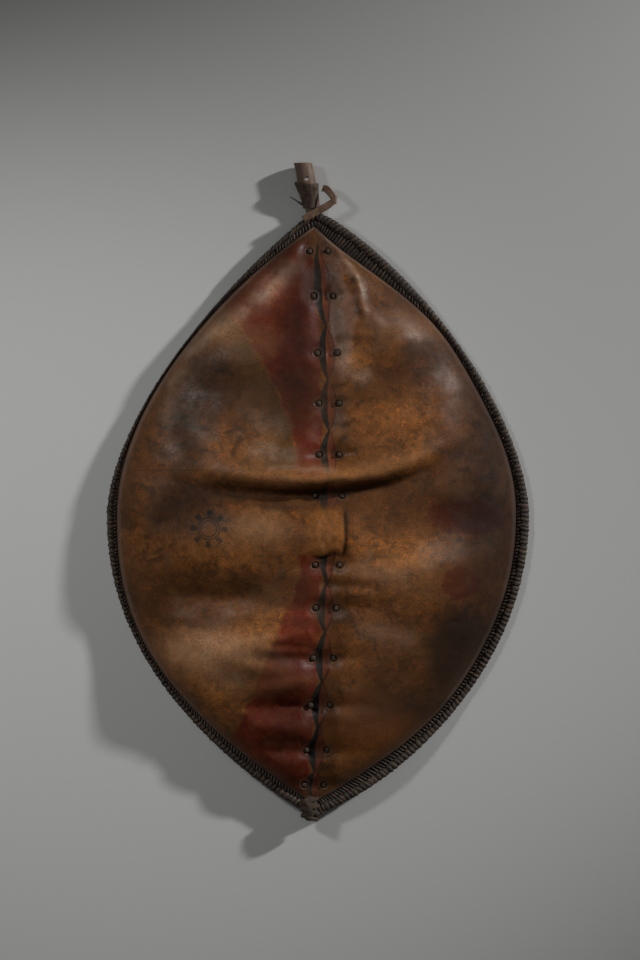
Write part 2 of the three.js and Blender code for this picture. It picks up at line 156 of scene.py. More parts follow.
# Broad patches of painted light and shade, with some dirt: paler where a highlight is painted,
# darker where shade is painted; x, y, reach across, reach along, and doublings of brightness.
PAINTED_LIGHT_AND_DIRT = (
    # painted shade with some grime: the right flank, from its top to its foot
    (250, 80, 56, 190, -2),
    (262, -60, 36, 110, -1),
    (240, -170, 56, 90, -1),
    # painted shade: the upper right shoulder
    (155, 235, 46, 30, -1.5),
    (110, 310, 44, 34, -1),
    # dark: the red beside the middle line, with painted shade in the furrow there
    (-26, 270, 30, 120, -1.4),
    # painted highlight: the upper left shoulder, with painted shade on the bulge below it
    (-75, 340, 34, 28, 1.2),
    (-145, 275, 34, 34, 1),
    (-155, 205, 36, 40, -1.3),
    # painted shade: the left edge, and under the fold's left end
    (-200, 105, 26, 54, -1.2),
    (-200, 10, 70, 30, -2),
    # painted highlights: above the fold, beside the middle line, and both sides of the grip
    (-75, 92, 60, 22, 0.6),
    (45, 218, 32, 22, 1),
    (125, 135, 56, 40, 0.6),
    (115, -60, 60, 48, 0.9),
    (-140, -60, 66, 28, 0.6),
    # painted highlights: the lower left crests, with painted shade in the furrow between them
    (-85, -160, 56, 36, 1.2),
    (-185, -210, 50, 40, 0.7),
    (-140, -264, 44, 24, 1),
    (-68, -213, 42, 14, -1.5),
    # painted shade: the lower right, and the lower tip
    (130, -290, 76, 30, -1.5),
    (-20, -330, 40, 80, -0.8),
)
# Painted highlights, as pale streaks: both ends, half width, and strength.
PAINTED_HIGHLIGHTS = (
    (-40, 366, -88, 320, 14, 0.5),
    (-92, 318, -152, 272, 11, 0.4),
    (-152, 272, -188, 240, 10, 0.5),
    (-188, 240, -216, 192, 10, 0.4),
    (-216, 192, -230, 140, 11, 0.25),
    (36, 378, 58, 354, 5, 0.5),
    (58, 354, 67, 326, 5, 0.5),
    (67, 326, 75, 300, 6, 0.6),
    (88, 290, 150, 268, 14, 0.4),
    (30, 330, 42, 215, 12, 0.3),
    (48, 214, 70, 204, 10, 0.35),
    (-70, 69, 26, 65, 3, 0.3),
    (-92, 96, -40, 84, 12, 0.35),
    (-88, 138, -60, 128, 16, 0.25),
    (165, -62, 215, -42, 18, 0.3),
    (60, -84, 130, -96, 14, 0.2),
    (-205, -200, -120, -246, 16, 0.25),
    (70, -176, 130, -186, 14, 0.25),
)
FOLD_Y = 56
FOLD_CURVE_LEFT = 0.0004
FOLD_CURVE_RIGHT = 0.0014
FOLD_HEIGHT = 10
FOLD_DROP = 11
FOLD_HALF_LENGTH = 175
BOSS_X = 17
BOSS_Y = -28
BOSS_REACH = 27
BOSS_HEIGHT = 7

MIDLINE_X = 16.5
MIDLINE_Y = 80
# Sideways bend, reach and power of the midline above and below that place.
MIDLINE_ABOVE = (37.5, 436, 2.6)
MIDLINE_BELOW = (27, 533, 2)
STAVE_TOP_Y = 525
STAVE_BOTTOM_Y = -446
STAVE_HALF_WIDTH = 10
STAVE_THICKNESS = 16
STAVE_TIP_THICKNESS = 13
STAVE_ARCH = 58.3
STAVE_ARCH_HALF_LENGTH = 408
STAVE_TIP_TOP = 17.2
BARE_START_Y = 456
BARE_FADE = 42
BARE_HALF_WIDTH = 14
BARE_THICKNESS = 24
BARE_BOTTOM = 5
GRIP_Y = -25.5
GRIP_CLEARANCE = 36
GRIP_FLAT = 16
GRIP_HALF_LENGTH = 47
CORD_HOLE = (-17, 501, 3.1)
SLEEVE_START_Y = 457.5
SLEEVE_LENGTH = 36.5

# The lacing: place along the midline, half the distance between its two holes, and how
# far its pucker reaches on the left and on the right.
LACING = (
    (392, 13.5, 20, 26),
    (324, 15, 22, 40),
    (238.5, 15, 24, 66),
    (163.5, 15, 26, 50),
    (87, 15, 30, 40),
    (26, 20, 26, 26),
    (-77, 18, 46, 30),
    (-141, 15.5, 60, 60),
    (-216, 15.5, 66, 44),
    (-286.5, 15, 118, 60),
    (-354, 15, 104, 56),
    (-407, 15, 40, 30),
)
# Where the painted links of the chain meet, along the midline.
CHAIN_JOINTS = (400, 277, 199, 123, 52, -8, -105, -176, -251, -318, -386, -425)

HIDE_ROWS = 340
HIDE_COLUMNS = 200
BACK_COLUMNS = 44
# The rod's middle stands this high, its top this much higher, with this roundness.
ROD_Z = 5.0
ROD_RISE = 5.0
ROD_ROUND = 0.7
STITCH_PITCH = 7.0
INNER_PITCH = 5.4

# ---------- formulas ----------


def smooth(start, end, value):
    """0 below start, 1 above end, 3t^2 - 2t^3 between."""
    t = np.clip((value - start) / (end - start), 0, 1)
    return t * t * (3 - 2 * t)


def bell(distance, reach):
    """exp(-(distance / reach)^2)."""
    return np.exp(-((distance / reach) ** 2))


def signed_power(value, power):
    """The power of the size, with the value's sign."""
    return np.sign(value) * np.abs(value) ** power


def oval_x(side, fraction, half_width, table):
    """Tip shift times fraction squared, plus side times W (1 - |fraction|^power)^root."""
    name = "left" if side < 0 else "right"
    upper = fraction > 0
    power, root = [
        np.where(upper, *both) for both in zip(table["upper", name], table["lower", name])
    ]
    shift = np.where(upper, TIP_SHIFT_TOP, TIP_SHIFT_BOTTOM) * fraction ** 2
    return shift + side * half_width * np.maximum(1 - np.abs(fraction) ** power, 0) ** root


def hide_half_length(y):
    return np.where(np.asarray(y) > 0, HIDE_HALF_LENGTH_TOP, HIDE_HALF_LENGTH_BOTTOM)


def hide_edge_x(side, y):
    """The oval of the hide's edge, with bell-shaped bulges over the right rim, one
    above and one below."""
    fraction = np.clip(y / hide_half_length(y), -1, 1)
    half_width = HIDE_HALF_WIDTH_LEFT if side < 0 else HIDE_HALF_WIDTH_RIGHT
    edge = oval_x(side, fraction, half_width, HIDE_OUTLINE)
    if side > 0:
        fade = np.sqrt(np.maximum(1 - fraction ** 8, 0))
        bulge = SHOULDER_BULGE * bell(y - SHOULDER_Y, SHOULDER_REACH)
        bulge = bulge + FLANK_BULGE * bell(y - FLANK_Y, FLANK_REACH)
        edge = edge + bulge * fade
    return edge


def tip_lift(y):
    return TIP_LIFT * smooth(LIFT_START, LIFT_END, np.abs(y) / HALF_LENGTH)


def hide_foot(y):
    return LEDGE_HEIGHT + GAP + tip_lift(y)


def midline_x(y):
    """A shallow curve that leans left towards both tips."""
    y = np.asarray(y, float)
    away = np.abs(y - MIDLINE_Y)
    ways = (MIDLINE_ABOVE, MIDLINE_BELOW)
    above, below = [bend * (away / reach) ** power for bend, reach, power in ways]
    return MIDLINE_X - np.where(y > MIDLINE_Y, above, below)


def lattice_noise(x, y, cell, seed):
    """Seeded random values on a square lattice, blended with smooth weights; -1 to 1."""
    values = np.random.default_rng(seed).uniform(-1, 1, (128, 128))
    gx = x / cell + 61.3
    gy = y / cell + 57.7
    ix = np.floor(gx).astype(int)
    iy = np.floor(gy).astype(int)
    fx = smooth(0, 1, gx - ix)
    fy = smooth(0, 1, gy - iy)
    a = values[iy % 128, ix % 128]
    b = values[iy % 128, (ix + 1) % 128]
    c = values[(iy + 1) % 128, ix % 128]
    d = values[(iy + 1) % 128, (ix + 1) % 128]
    return (a * (1 - fx) + b * fx) * (1 - fy) + (c * (1 - fx) + d * fx) * fy


def crease(x, y, x0, y0, x1, y1, width, height):
    """A bell across the distance to a line segment."""
    length = np.hypot(x1 - x0, y1 - y0)
    t = np.clip(((x - x0) * (x1 - x0) + (y - y0) * (y1 - y0)) / length ** 2, 0, 1)
    away = np.hypot(x - x0 - t * (x1 - x0), y - y0 - t * (y1 - y0))
    return height * bell(away, width)


def fold_y(x):
    """The curved line that the fold follows."""
    return FOLD_Y + np.where(x < 0, FOLD_CURVE_LEFT, FOLD_CURVE_RIGHT) * x * x


def swell(x, y):
    """The broad relief: one fold across, with its crest and valley, and the swells."""
    fold_line = fold_y(x)
    along = np.exp(-((x / FOLD_HALF_LENGTH) ** 4))
    crest = FOLD_HEIGHT * bell(y - fold_line - 2, 30)
    fold = along * (crest - FOLD_DROP * bell(y - fold_line + 34, 17))
    height = 0 * x
    for sx, sy, reach_x, reach_y, tall in SWELLS:
        height = height + tall * bell(np.hypot((x - sx) / reach_x, (y - sy) / reach_y), 1)
    return fold + RELIEF_GAIN * height


def fold_edge(x, y):
    """The fold's sharp brow and the narrow furrow right under it, strongest in the middle.
    The furrow is shallow over the stave, which lies close behind the hide."""
    away = y - fold_y(x) + 2.5 * lattice_noise(x, 0 * y, 38, 14)
    along = bell((x - 15) / 125, 1)
    over_stave = 1 - 0.85 * bell(x - midline_x(y), 20)
    furrow = 6.0 * bell(away + 27, 7) * over_stave
    return along * (7.0 * bell(away + 8, 12) - 3.5 * bell(away - 24, 14) - furrow)


def tab_edges(x, y):
    """Distance right of the tab's right side, and above its wavy lower edge."""
    bend = 3 * lattice_noise(x, y, 20, 15)
    side = x - 40 + 0.0022 * (y + 30) ** 2 + bend
    foot = y + 60 + bend + 4 * np.sin(x / 7 + 1)
    return side, foot


def tab_area(x, y):
    """1 on the tab over the grip, 0 away from it, soft towards the left and the top."""
    side, foot = tab_edges(x, y)
    inside = (1 - smooth(-3, 2, side)) * smooth(-3, 3, foot)
    return inside * smooth(-20, 8, x) * (1 - smooth(-4, 18, y))


def slit_area(x, y):
    """1 along the slit round the tab's right side and under its lower edge, where painted shade
    goes.
    """
    side, foot = tab_edges(x, y)
    right = bell(side - 1.5, 2.9) * smooth(-6, 0, foot) * (1 - smooth(-6, 12, y))
    under = bell(foot + 4, 2.6) * smooth(-12, 0, x) * (1 - smooth(-2, 4, side))
    return np.maximum(right, 0.8 * under)


def hand_tab(x, y):
    """The raised tab over the grip, lumpy, with the slit round its right and lower sides."""
    lumps = 1.5 * lattice_noise(x, y, 9, 16) + 1.6 * bell(np.hypot(x - 26, y + 44), 11)
    side, _ = tab_edges(x, y)
    dome = 3.4 * bell(x - 8, 22) + lumps
    return tab_area(x, y) * dome * (1 - smooth(-16, 0, side)) - 1.6 * slit_area(x, y)


def wrinkles(x, y):
    """Creases, and three sizes of noise stretched along the shield's width."""
    height = fold_edge(x, y) + hand_tab(x, y)
    for line in CREASES:
        height = height + crease(x, y, *line)
    warp = 14 * lattice_noise(x, y, 70, 3)
    height = height + 1.3 * lattice_noise(x + warp, y * 1.6 + warp, 62, 4)
    height = height + 0.65 * lattice_noise(x + warp, y * 1.5, 27, 5)
    return height + 0.28 * lattice_noise(x, y * 1.2 + warp, 11, 6)


def lace_distance(x, y):
    """Distance to the middle of the nearest lace hole."""
    nearest = np.full(np.shape(x), 1e3)
    for hole_y, half_span, _, _ in LACING:
        for side in (-1, 1):
            hole_x = midline_x(hole_y) + side * half_span
            nearest = np.minimum(nearest, np.hypot(x - hole_x, y - hole_y))
    return nearest


def lacing_pull(x, y):
    """How the lacing draws the hide: a pucker across each pair of holes, a dimple with a
    raised lip round each hole, and the hole itself."""
    across = x - midline_x(y)
    drift = 5 * lattice_noise(x, y, 45, 8)
    pucker = 0 * x
    for hole_y, half_span, left_reach, right_reach in LACING:
        reach = np.where(across < 0, left_reach, right_reach)
        beyond = np.maximum(np.abs(across) - half_span, 0)
        depth = 2.2 + reach / 26
        fold = bell(y - hole_y + drift * beyond / 60, 12) * bell(beyond, reach)
        pucker = pucker - depth * fold
    away = lace_distance(x, y)
    dimple = -2.6 * bell(away, 10)
    lip = 1.3 * bell(away - 6.6, 2.4)
    hole = -6.5 * (1 - smooth(2.8, 4.9, away))
    return pucker + dimple + lip + hole


def front_height(x, y, u):
    """The front above its own foot: an arched crown times a steep-sided section, drawn
    down softly to the spine along the groove, plus the relief, fading out at the edge."""
    v = np.minimum(np.abs(y) / hide_half_length(y), 1)
    crown = CROWN_HEIGHT * (1 - v ** CROWN_POWER) ** CROWN_ROOT
    section = np.maximum(1 - u ** SECTION_POWER, 0) ** SECTION_ROOT
    spine = np.maximum(SPINE_FOOT + SPINE_HEIGHT * (1 - v * v) - hide_foot(y), 0)
    wide = GROOVE_HALF_WIDTH + 3 + 4 * lattice_noise(0 * y, y, 38, 2)
    groove = np.exp(-(np.abs((x - midline_x(y)) / wide) ** 2.3)) * (1 - u ** 6)
    uneven = 0.25 * (lattice_noise(0 * y, y, 60, 7) + 0.4)
    groove = groove * (1 - 0.8 * bell(y - FOLD_Y, 24) - uneven)
    fade = (1 - u ** 4) * (1 - v ** 6)
    boss = BOSS_HEIGHT * bell(np.hypot(x - BOSS_X, y - BOSS_Y), BOSS_REACH)
    relief = swell(x, y) * fade * (1 - groove) + boss
    return np.maximum(crown * section * (1 - groove) + spine * groove + relief, 0)


def front_z(x, y):
    """The smooth front's height at any place."""
    middle = midline_x(y)
    span_left = np.abs(hide_edge_x(-1, y) - middle)
    span_right = np.abs(hide_edge_x(1, y) - middle)
    u = np.minimum(np.abs(x - middle) / np.where(x < middle, span_left, span_right), 1)
    return hide_foot(y) + front_height(x, y, u)


def grip_share(y):
    """1 in the middle of the grip, 0 beyond its ends."""
    return 1 - smooth(GRIP_FLAT, GRIP_HALF_LENGTH, np.abs(y - GRIP_Y))


def bare_share(y):
    """1 on the stave's bare upper end, 0 below it."""
    return smooth(BARE_START_Y, BARE_START_Y + BARE_FADE, y)


def stave_top(y):
    """An arch that meets the hide, less the bow of the grip."""
    v = np.minimum(np.abs(y) / STAVE_ARCH_HALF_LENGTH, 1)
    return STAVE_TIP_TOP + STAVE_ARCH * (1 - v * v) - GRIP_CLEARANCE * grip_share(y)


def stave_size(y):
    """Half width, middle height and thickness of the stave at y."""
    bare = bare_share(y)
    tip = smooth(360, 400, np.abs(y))
    along = STAVE_THICKNESS + (STAVE_TIP_THICKNESS - STAVE_THICKNESS) * tip
    slope = (stave_top(y + 1) - stave_top(y - 1)) / 2
    cut = np.minimum(along * np.hypot(1, slope), 1.6 * along)
    top = stave_top(y) + (BARE_BOTTOM + BARE_THICKNESS - stave_top(y)) * bare
    thickness = cut + (BARE_THICKNESS - cut) * bare
    half_width = STAVE_HALF_WIDTH + (BARE_HALF_WIDTH - STAVE_HALF_WIDTH) * bare
    half_width = half_width + 2 * grip_share(y)
    return half_width, top - thickness / 2, thickness


# ---------- meshes ----------


def make_piece(name, points, faces, replaced, material, marks=None):
    """One mesh object from points in millimetres; marks are attributes, one value a point."""
    mesh = bpy.data.meshes.new(name)
    places = np.asarray(points, float).reshape(-1, 3) * MM + RIM_MIDDLE
    faces = np.asarray(faces, np.int32)
    mesh.vertices.add(len(places))
    mesh.vertices.foreach_set("co", places.ravel())
    mesh.loops.add(faces.size)
    mesh.loops.foreach_set("vertex_index", faces.ravel())
    mesh.polygons.add(len(faces))
    mesh.polygons.foreach_set("loop_start", np.arange(0, faces.size, faces.shape[1]))
    mesh.polygons.foreach_set("use_smooth", np.ones(len(faces), bool))
    for key, values in (marks or {}).items():
        layer = mesh.attributes.new(key, "FLOAT", "POINT")
        layer.data.foreach_set("value", np.asarray(values, np.float32).ravel())
    mesh.update(calc_edges=True)
    mesh.validate()
    mesh.materials.append(material)
    piece = bpy.data.objects.new(name, mesh)
    bpy.context.scene.collection.objects.link(piece)
    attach(piece, "root")
    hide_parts(*replaced)
    return piece


def grid_faces(rows, columns, wrap_rows=False, wrap_columns=False, start=0):
    """Quads over a grid of points stored row by row."""
    r = np.arange(rows if wrap_rows else rows - 1)
    c = np.arange(columns if wrap_columns else columns - 1)
    r, c = np.meshgrid(r, c, indexing="ij")
    r2 = (r + 1) % rows
    c2 = (c + 1) % columns
    low, high = r * columns, r2 * columns
    quads = np.stack([low + c, low + c2, high + c2, high + c], -1)
    return quads.reshape(-1, 4) + start


def smooth_path(points, count):
    """A Catmull-Rom curve through a few given points, evenly in parameter."""
    p = np.asarray(points, float)
    p = np.vstack([2 * p[0] - p[1], p, 2 * p[-1] - p[-2]])
    t = np.linspace(0, len(points) - 1 - 1e-9, count)
    k = t.astype(int)
    f = (t - k)[:, None]
    a, b, c, d = p[k], p[k + 1], p[k + 2], p[k + 3]
    square = (2 * a - 5 * b + 4 * c - d) * f ** 2
    cube = (3 * b - a - 3 * c + d) * f ** 3
    return 0.5 * (2 * b + (c - a) * f + square + cube)


def unit(vectors):
    return vectors / np.maximum(np.linalg.norm(vectors, axis=-1, keepdims=True), 1e-9)


def section_rings(path, across, other, wide, thick):
    """A ring round each point of a path: so wide across it, so thick the other way."""
    return path[:, None] + across[:, None] * wide[..., None] + other[:, None] * thick[..., None]


def tube_rings(path, across, half_across, half_other, sides=16, power=2.0):
    """A superellipse section carried along a path and square to it. Both ends close in
    a quarter round of three rings."""
    path = np.asarray(path, float)
    forward = unit(np.gradient(path, axis=0))
    other = unit(np.cross(forward, np.broadcast_to(across, path.shape)))
    level = np.cross(other, forward)
    turn = 2 * np.pi * (np.arange(sides) + 0.5) / sides
    cos = signed_power(np.cos(turn), 2 / power)
    sin = signed_power(np.sin(turn), 2 / power)
    wide = np.broadcast_to(half_across, len(path))
    thick = np.broadcast_to(half_other, len(path))
    rings = section_rings(path, level, other, wide[:, None] * cos, thick[:, None] * sin)
    ends = []
    for end, way in ((0, -1), (-1, 1)):
        reach = 0.6 * min(wide[end], thick[end])
        caps = []
        for angle in (0.5, 1.0, 1.45):
            middle = path[end] + way * forward[end] * reach * np.sin(angle)
            caps.append(middle + (rings[end] - path[end]) * np.cos(angle))
        ends.append(np.stack(caps))
    return np.concatenate([ends[0][::-1], rings, ends[1]])


def tube_faces(rows, sides, start=0):
    """Quads round a tube, with each end closed by a fan to its first point."""
    body = grid_faces(rows, sides, wrap_columns=True, start=start)
    k = np.arange(1, sides - 1)
    last = (rows - 1) * sides
    low = np.stack([0 * k, k + 1, k], -1)
    high = np.stack([last + 0 * k, last + k, last + k + 1], -1)
    return body, np.concatenate([low, high]) + start


def turn_faces(rows, sides, count):
    """The triangles of one closed tube, repeated for every tube, facing outward when its
    rings run the other way round."""
    body, ends = tube_faces(rows, sides)
    one = np.concatenate([body[:, [0, 1, 2]], body[:, [0, 2, 3]], ends])[:, ::-1]
    return (one[None] + rows * sides * np.arange(count)[:, None, None]).reshape(-1, 3)


def make_tubes(name, ring_sets, replaced, material):
    """Several closed tubes as one piece, all in triangles."""
    points = []
    triangles = []
    start = 0
    for rings in ring_sets:
        rows, sides = rings.shape[:2]
        body, ends = tube_faces(rows, sides, start)
        triangles += [body[:, [0, 1, 2]], body[:, [0, 2, 3]], ends]
        points.append(rings.reshape(-1, 3))
        start += rows * sides
    points = np.concatenate(points)
    return make_piece(name, points, np.concatenate(triangles), replaced, material)


# ---------- shader nodes ----------


def node(tree, kind, values=None, **settings):
    """A node with its settings, and each input either linked or given a value."""
    made = tree.nodes.new(kind)
    for key, value in settings.items():
        setattr(made, key, value)
    for key, value in (values or {}).items():
        if isinstance(value, bpy.types.NodeSocket):
            tree.links.new(value, made.inputs[key])
        else:
            made.inputs[key].default_value = value
    return made


def maths(tree, operation, a, b=0.0, clamp=False):
    made = node(tree, "ShaderNodeMath", {0: a, 1: b}, operation=operation, use_clamp=clamp)
    return made.outputs[0]


def times(tree, a, b):
    return maths(tree, "MULTIPLY", a, b)


def plus(tree, a, b, clamp=False):
    return maths(tree, "ADD", a, b, clamp)


def minus(tree, a, b, clamp=False):
    return maths(tree, "SUBTRACT", a, b, clamp)


def vectors(tree, operation, a, b=(0, 0, 0), output=0):
    made = node(tree, "ShaderNodeVectorMath", {0: a, 1: b}, operation=operation)
    return made.outputs[output]


def cell_edges(tree, vector, scale):
    """The distance to the edges of random cells."""
    values = {"Vector": vector, "Scale": scale}
    made = node(tree, "ShaderNodeTexVoronoi", values, feature="DISTANCE_TO_EDGE")
    return made.outputs["Distance"]


def band(tree, value, low, high, to_low=0.0, to_high=1.0):
    """A smooth step from low to high."""
    values = {"Value": value, "From Min": low, "From Max": high}
    values.update({"To Min": to_low, "To Max": to_high})
    return node(tree, "ShaderNodeMapRange", values, interpolation_type="SMOOTHSTEP").outputs[0]


def noise(tree, vector, scale, detail=3.0, roughness=0.55, distortion=0.0):
    values = {"Vector": vector, "Scale": scale, "Detail": detail}
    values.update({"Roughness": roughness, "Distortion": distortion})
    return node(tree, "ShaderNodeTexNoise", values).outputs[0]


def blend(tree, amount, a, b):
    return node(tree, "ShaderNodeMix", {0: amount, 6: a, 7: b}, data_type="RGBA").outputs[2]


def mark(tree, name):
    return node(tree, "ShaderNodeAttribute", attribute_name=name).outputs["Fac"]


def place(tree, scale=(1, 1, 1)):
    """Object coordinates through a Mapping."""
    coordinates = node(tree, "ShaderNodeTexCoord").outputs["Object"]
    return node(tree, "ShaderNodeMapping", {"Vector": coordinates, "Scale": scale}).outputs[0]


def effect(name, inputs, outputs):
    """An empty node group with named float or vector sockets, and its two end nodes."""
    tree = bpy.data.node_groups.new(name, "ShaderNodeTree")
    for label, kind, default in inputs:
        socket = tree.interface.new_socket(label, in_out="INPUT", socket_type=kind)
        if default is not None:
            socket.default_value = default
    for label, kind in outputs:
        tree.interface.new_socket(label, in_out="OUTPUT", socket_type=kind)
    return tree, tree.nodes.new("NodeGroupInput").outputs, tree.nodes.new("NodeGroupOutput").inputs


FLOAT = "NodeSocketFloat"
VECTOR = "NodeSocketVector"


def mottle_effect():
    """Cloudy patches broken up by finer clouds, for the uneven tone of old leather."""
    tree, given, out = effect(
        "mottle",
        [("Vector", VECTOR, None), ("Scale", FLOAT, 20.0), ("Contrast", FLOAT, 2.0)],
        [("Tone", FLOAT)],
    )
    wide = noise(tree, given["Vector"], given["Scale"], 4, 0.6, 0.6)
    fine_scale = times(tree, given["Scale"], 6.3)
    fine = noise(tree, given["Vector"], fine_scale, 3, 0.6, 0.3)
    both = plus(tree, times(tree, wide, 0.7), times(tree, fine, 0.3))
    centred = times(tree, minus(tree, both, 0.5), given["Contrast"])
    tree.links.new(plus(tree, centred, 0.5, clamp=True), out["Tone"])
    return tree


def grain_effect():
    """Skin grain: small rounded cells with pits between them, and finer noise on top."""
    tree, given, out = effect(
        "skin_grain",
        [("Vector", VECTOR, None), ("Scale", FLOAT, 500.0), ("Pits", FLOAT, 0.6)],
        [("Height", FLOAT)],
    )
    cells = cell_edges(tree, given["Vector"], given["Scale"])
    round_cells = band(tree, cells, 0.0, 0.35)
    fine = noise(tree, given["Vector"], times(tree, given["Scale"], 2.2), 3, 0.6)
    pits = times(tree, round_cells, given["Pits"])
    tree.links.new(plus(tree, pits, times(tree, fine, 0.5)), out["Height"])
    return tree


def crackle_effect():
    """Thin dark cracks: the edges of warped cells, kept only where a cloud allows them."""
    tree, given, out = effect(
        "crackle",
        [
            ("Vector", VECTOR, None),
            ("Scale", FLOAT, 120.0),
            ("Width", FLOAT, 0.04),
            ("Cover", FLOAT, 0.5),
        ],
        [("Cracks", FLOAT)],
    )
    values = {"Vector": given["Vector"], "Scale": 60.0, "Detail": 2.0}
    warp = node(tree, "ShaderNodeTexNoise", values)
    shift = vectors(tree, "MULTIPLY", warp.outputs["Color"], (0.012, 0.012, 0.012))
    cells = cell_edges(tree, vectors(tree, "ADD", given["Vector"], shift), given["Scale"])
    thin = minus(tree, 1.0, band(tree, cells, 0.0, given["Width"]))
    cloud = noise(tree, given["Vector"], 18.0, 3, 0.6)
    high = plus(tree, given["Cover"], 0.12)
    allowed = minus(tree, 1.0, band(tree, cloud, given["Cover"], high))
    tree.links.new(times(tree, thin, allowed), out["Cracks"])
    return tree


def streak_effect():
    """Long thin streaks along one way, from noise squeezed across it."""
    tree, given, out = effect(
        "streaks",
        [("Vector", VECTOR, None), ("Scale", FLOAT, 100.0)],
        [("Streaks", FLOAT)],
    )
    wide = noise(tree, given["Vector"], given["Scale"], 4, 0.65, 0.4)
    tree.links.new(band(tree, wide, 0.36, 0.66), out["Streaks"])
    return tree


mottle_group = mottle_effect()
grain_group = grain_effect()
crackle_group = crackle_effect()
streak_group = streak_effect()


def use(tree, group, **values):
    """A shared effect placed in a material, with its own values."""
    named = {key.capitalize(): value for key, value in values.items()}
    return node(tree, "ShaderNodeGroup", named, node_tree=group).outputs[0]


def start_material(name, colour):
    material = bpy.data.materials.new(name)
    material.use_nodes = True
    material.diffuse_color = (*colour, 1)
    tree = material.node_tree
    return material, tree, tree.nodes["Principled BSDF"]


def rgb(r, g, b):
    return (r, g, b, 1)


def bump(tree, height, distance, strength=1.0, normal=None):
    values = {"Height": height, "Distance": distance, "Strength": strength}
    if normal is not None:
        values["Normal"] = normal
    return node(tree, "ShaderNodeBump", values).outputs[0]


# ---------- the hide's finish ----------


def rosette(tree, vector, x, y, twist):
    """Two thin painted rings with eight short rays round them: bands on the distance from
    the middle, with the rays cut by the cosine of eight times the angle."""
    middle = (RIM_MIDDLE[0] + x * MM, RIM_MIDDLE[1] + y * MM, 0)
    offset = vectors(tree, "SUBTRACT", vector, middle)
    parts = node(tree, "ShaderNodeSeparateXYZ", {0: offset}).outputs
    flat = node(tree, "ShaderNodeCombineXYZ", {0: parts[0], 1: parts[1]}).outputs[0]
    radius = vectors(tree, "LENGTH", flat, output="Value")

    def ring_at(middle_radius, outside, inside):
        away = maths(tree, "ABSOLUTE", minus(tree, radius, middle_radius))
        return band(tree, away, outside, inside)

    ring = maths(tree, "MAXIMUM", ring_at(0.0118, 0.0013, 0.0005), ring_at(0.0160, 0.0015, 0.0006))
    angle = maths(tree, "ARCTAN2", parts[1], parts[0])
    wave = maths(tree, "COSINE", plus(tree, times(tree, angle, 8.0), twist))
    rays = band(tree, wave, -0.1, 0.7)
    ray_in = band(tree, radius, 0.0175, 0.0190)
    ray_out = band(tree, radius, 0.0260, 0.0290, 1.0, 0.0)
    ray = times(tree, rays, times(tree, ray_in, ray_out))
    return maths(tree, "MAXIMUM", ring, ray)


class Finish:
    """A material in the making: its nodes, its coordinates and the colour so far."""

    def __init__(self, name, seen):
        self.material, self.tree, self.shader = start_material(name, seen)
        self.vector = place(self.tree)
        self.colour = rgb(*seen)

    def mottle(self, scale, contrast, vector=None):
        vector = vector or self.vector
        return use(self.tree, mottle_group, vector=vector, scale=scale, contrast=contrast)

    def clouds(self, low, high, *settings, stretch=None):
        """Noise, with its settings, stepped from low to high."""
        vector = place(self.tree, stretch) if stretch else self.vector
        return band(self.tree, noise(self.tree, vector, *settings), low, high)

    def cover(self, mask, amount, paint):
        """Lays a paint over the colour so far, by the mask times the amount."""
        self.colour = blend(self.tree, times(self.tree, mask, amount), self.colour, paint)

    def done(self, roughness, normal):
        sockets = {"Base Color": self.colour, "Roughness": roughness, "Normal": normal}
        for socket, value in sockets.items():
            self.tree.links.new(value, self.shader.inputs[socket])
        return self.material


def mottled_ground(skin, specks):
    """Tan and brown clouds, flecked with rust, smoke, grey and thin streaks."""
    tree = skin.tree
    tan = blend(tree, specks, rgb(0.15, 0.05, 0.013), rgb(0.32, 0.125, 0.038))
    brown = blend(tree, specks, rgb(0.07, 0.026, 0.009), rgb(0.19, 0.07, 0.022))
    skin.colour = blend(tree, skin.mottle(11.0, 3.0), brown, tan)
    skin.cover(skin.clouds(0.55, 0.64, 80.0, 5, 0.7, 1.2), 0.55, rgb(0.42, 0.115, 0.02))
    smoke = skin.clouds(0.5, 0.64, 30.0, 6, 0.68, 0.8, stretch=(1, 1.3, 1))
    skin.cover(smoke, 0.72, rgb(0.055, 0.026, 0.011))
    grey = skin.clouds(0.55, 0.68, 16.0, 5, 0.6, 0.9, stretch=(1.4, 0.8, 1))
    skin.cover(grey, 0.4, rgb(0.15, 0.085, 0.05))
    streaks = use(tree, streak_group, vector=place(tree, (1, 0.22, 1)), scale=70.0)
    skin.cover(streaks, 0.16, rgb(0.085, 0.035, 0.013))


def painted_areas(skin, specks, ragged):
    """Paler patches of painted light, painted shade over the lower right, golden and dark
    stains, then the red paint, each with a ragged edge.
    """
    tree = skin.tree

    def area(name, low, high):
        """A marked area's edge distance, made ragged and stepped."""
        return band(tree, plus(tree, mark(tree, name), ragged), low, high)

    # painted light: paler patches where slopes on the left face the lamps
    pale = blend(tree, specks, rgb(0.26, 0.11, 0.045), rgb(0.46, 0.24, 0.12))
    skin.cover(area("pale", -10.0, 26.0), 0.6, pale)
    # painted shade over the lower right
    skin.cover(area("painted_shade_lower_right", -30.0, 70.0), 0.6, rgb(0.06, 0.027, 0.012))
    skin.cover(area("gold", -12.0, 14.0), 0.6, rgb(0.17, 0.055, 0.013))
    skin.cover(area("dark", -18.0, 16.0), 0.85, rgb(0.03, 0.019, 0.012))
    worn = band(tree, noise(tree, skin.vector, 85.0, 5, 0.7), 0.36, 0.66, 1.0, 0.68)
    red = blend(tree, specks, rgb(0.085, 0.012, 0.006), rgb(0.155, 0.022, 0.011))
    skin.cover(area("red", -3.0, 4.0), worn, red)


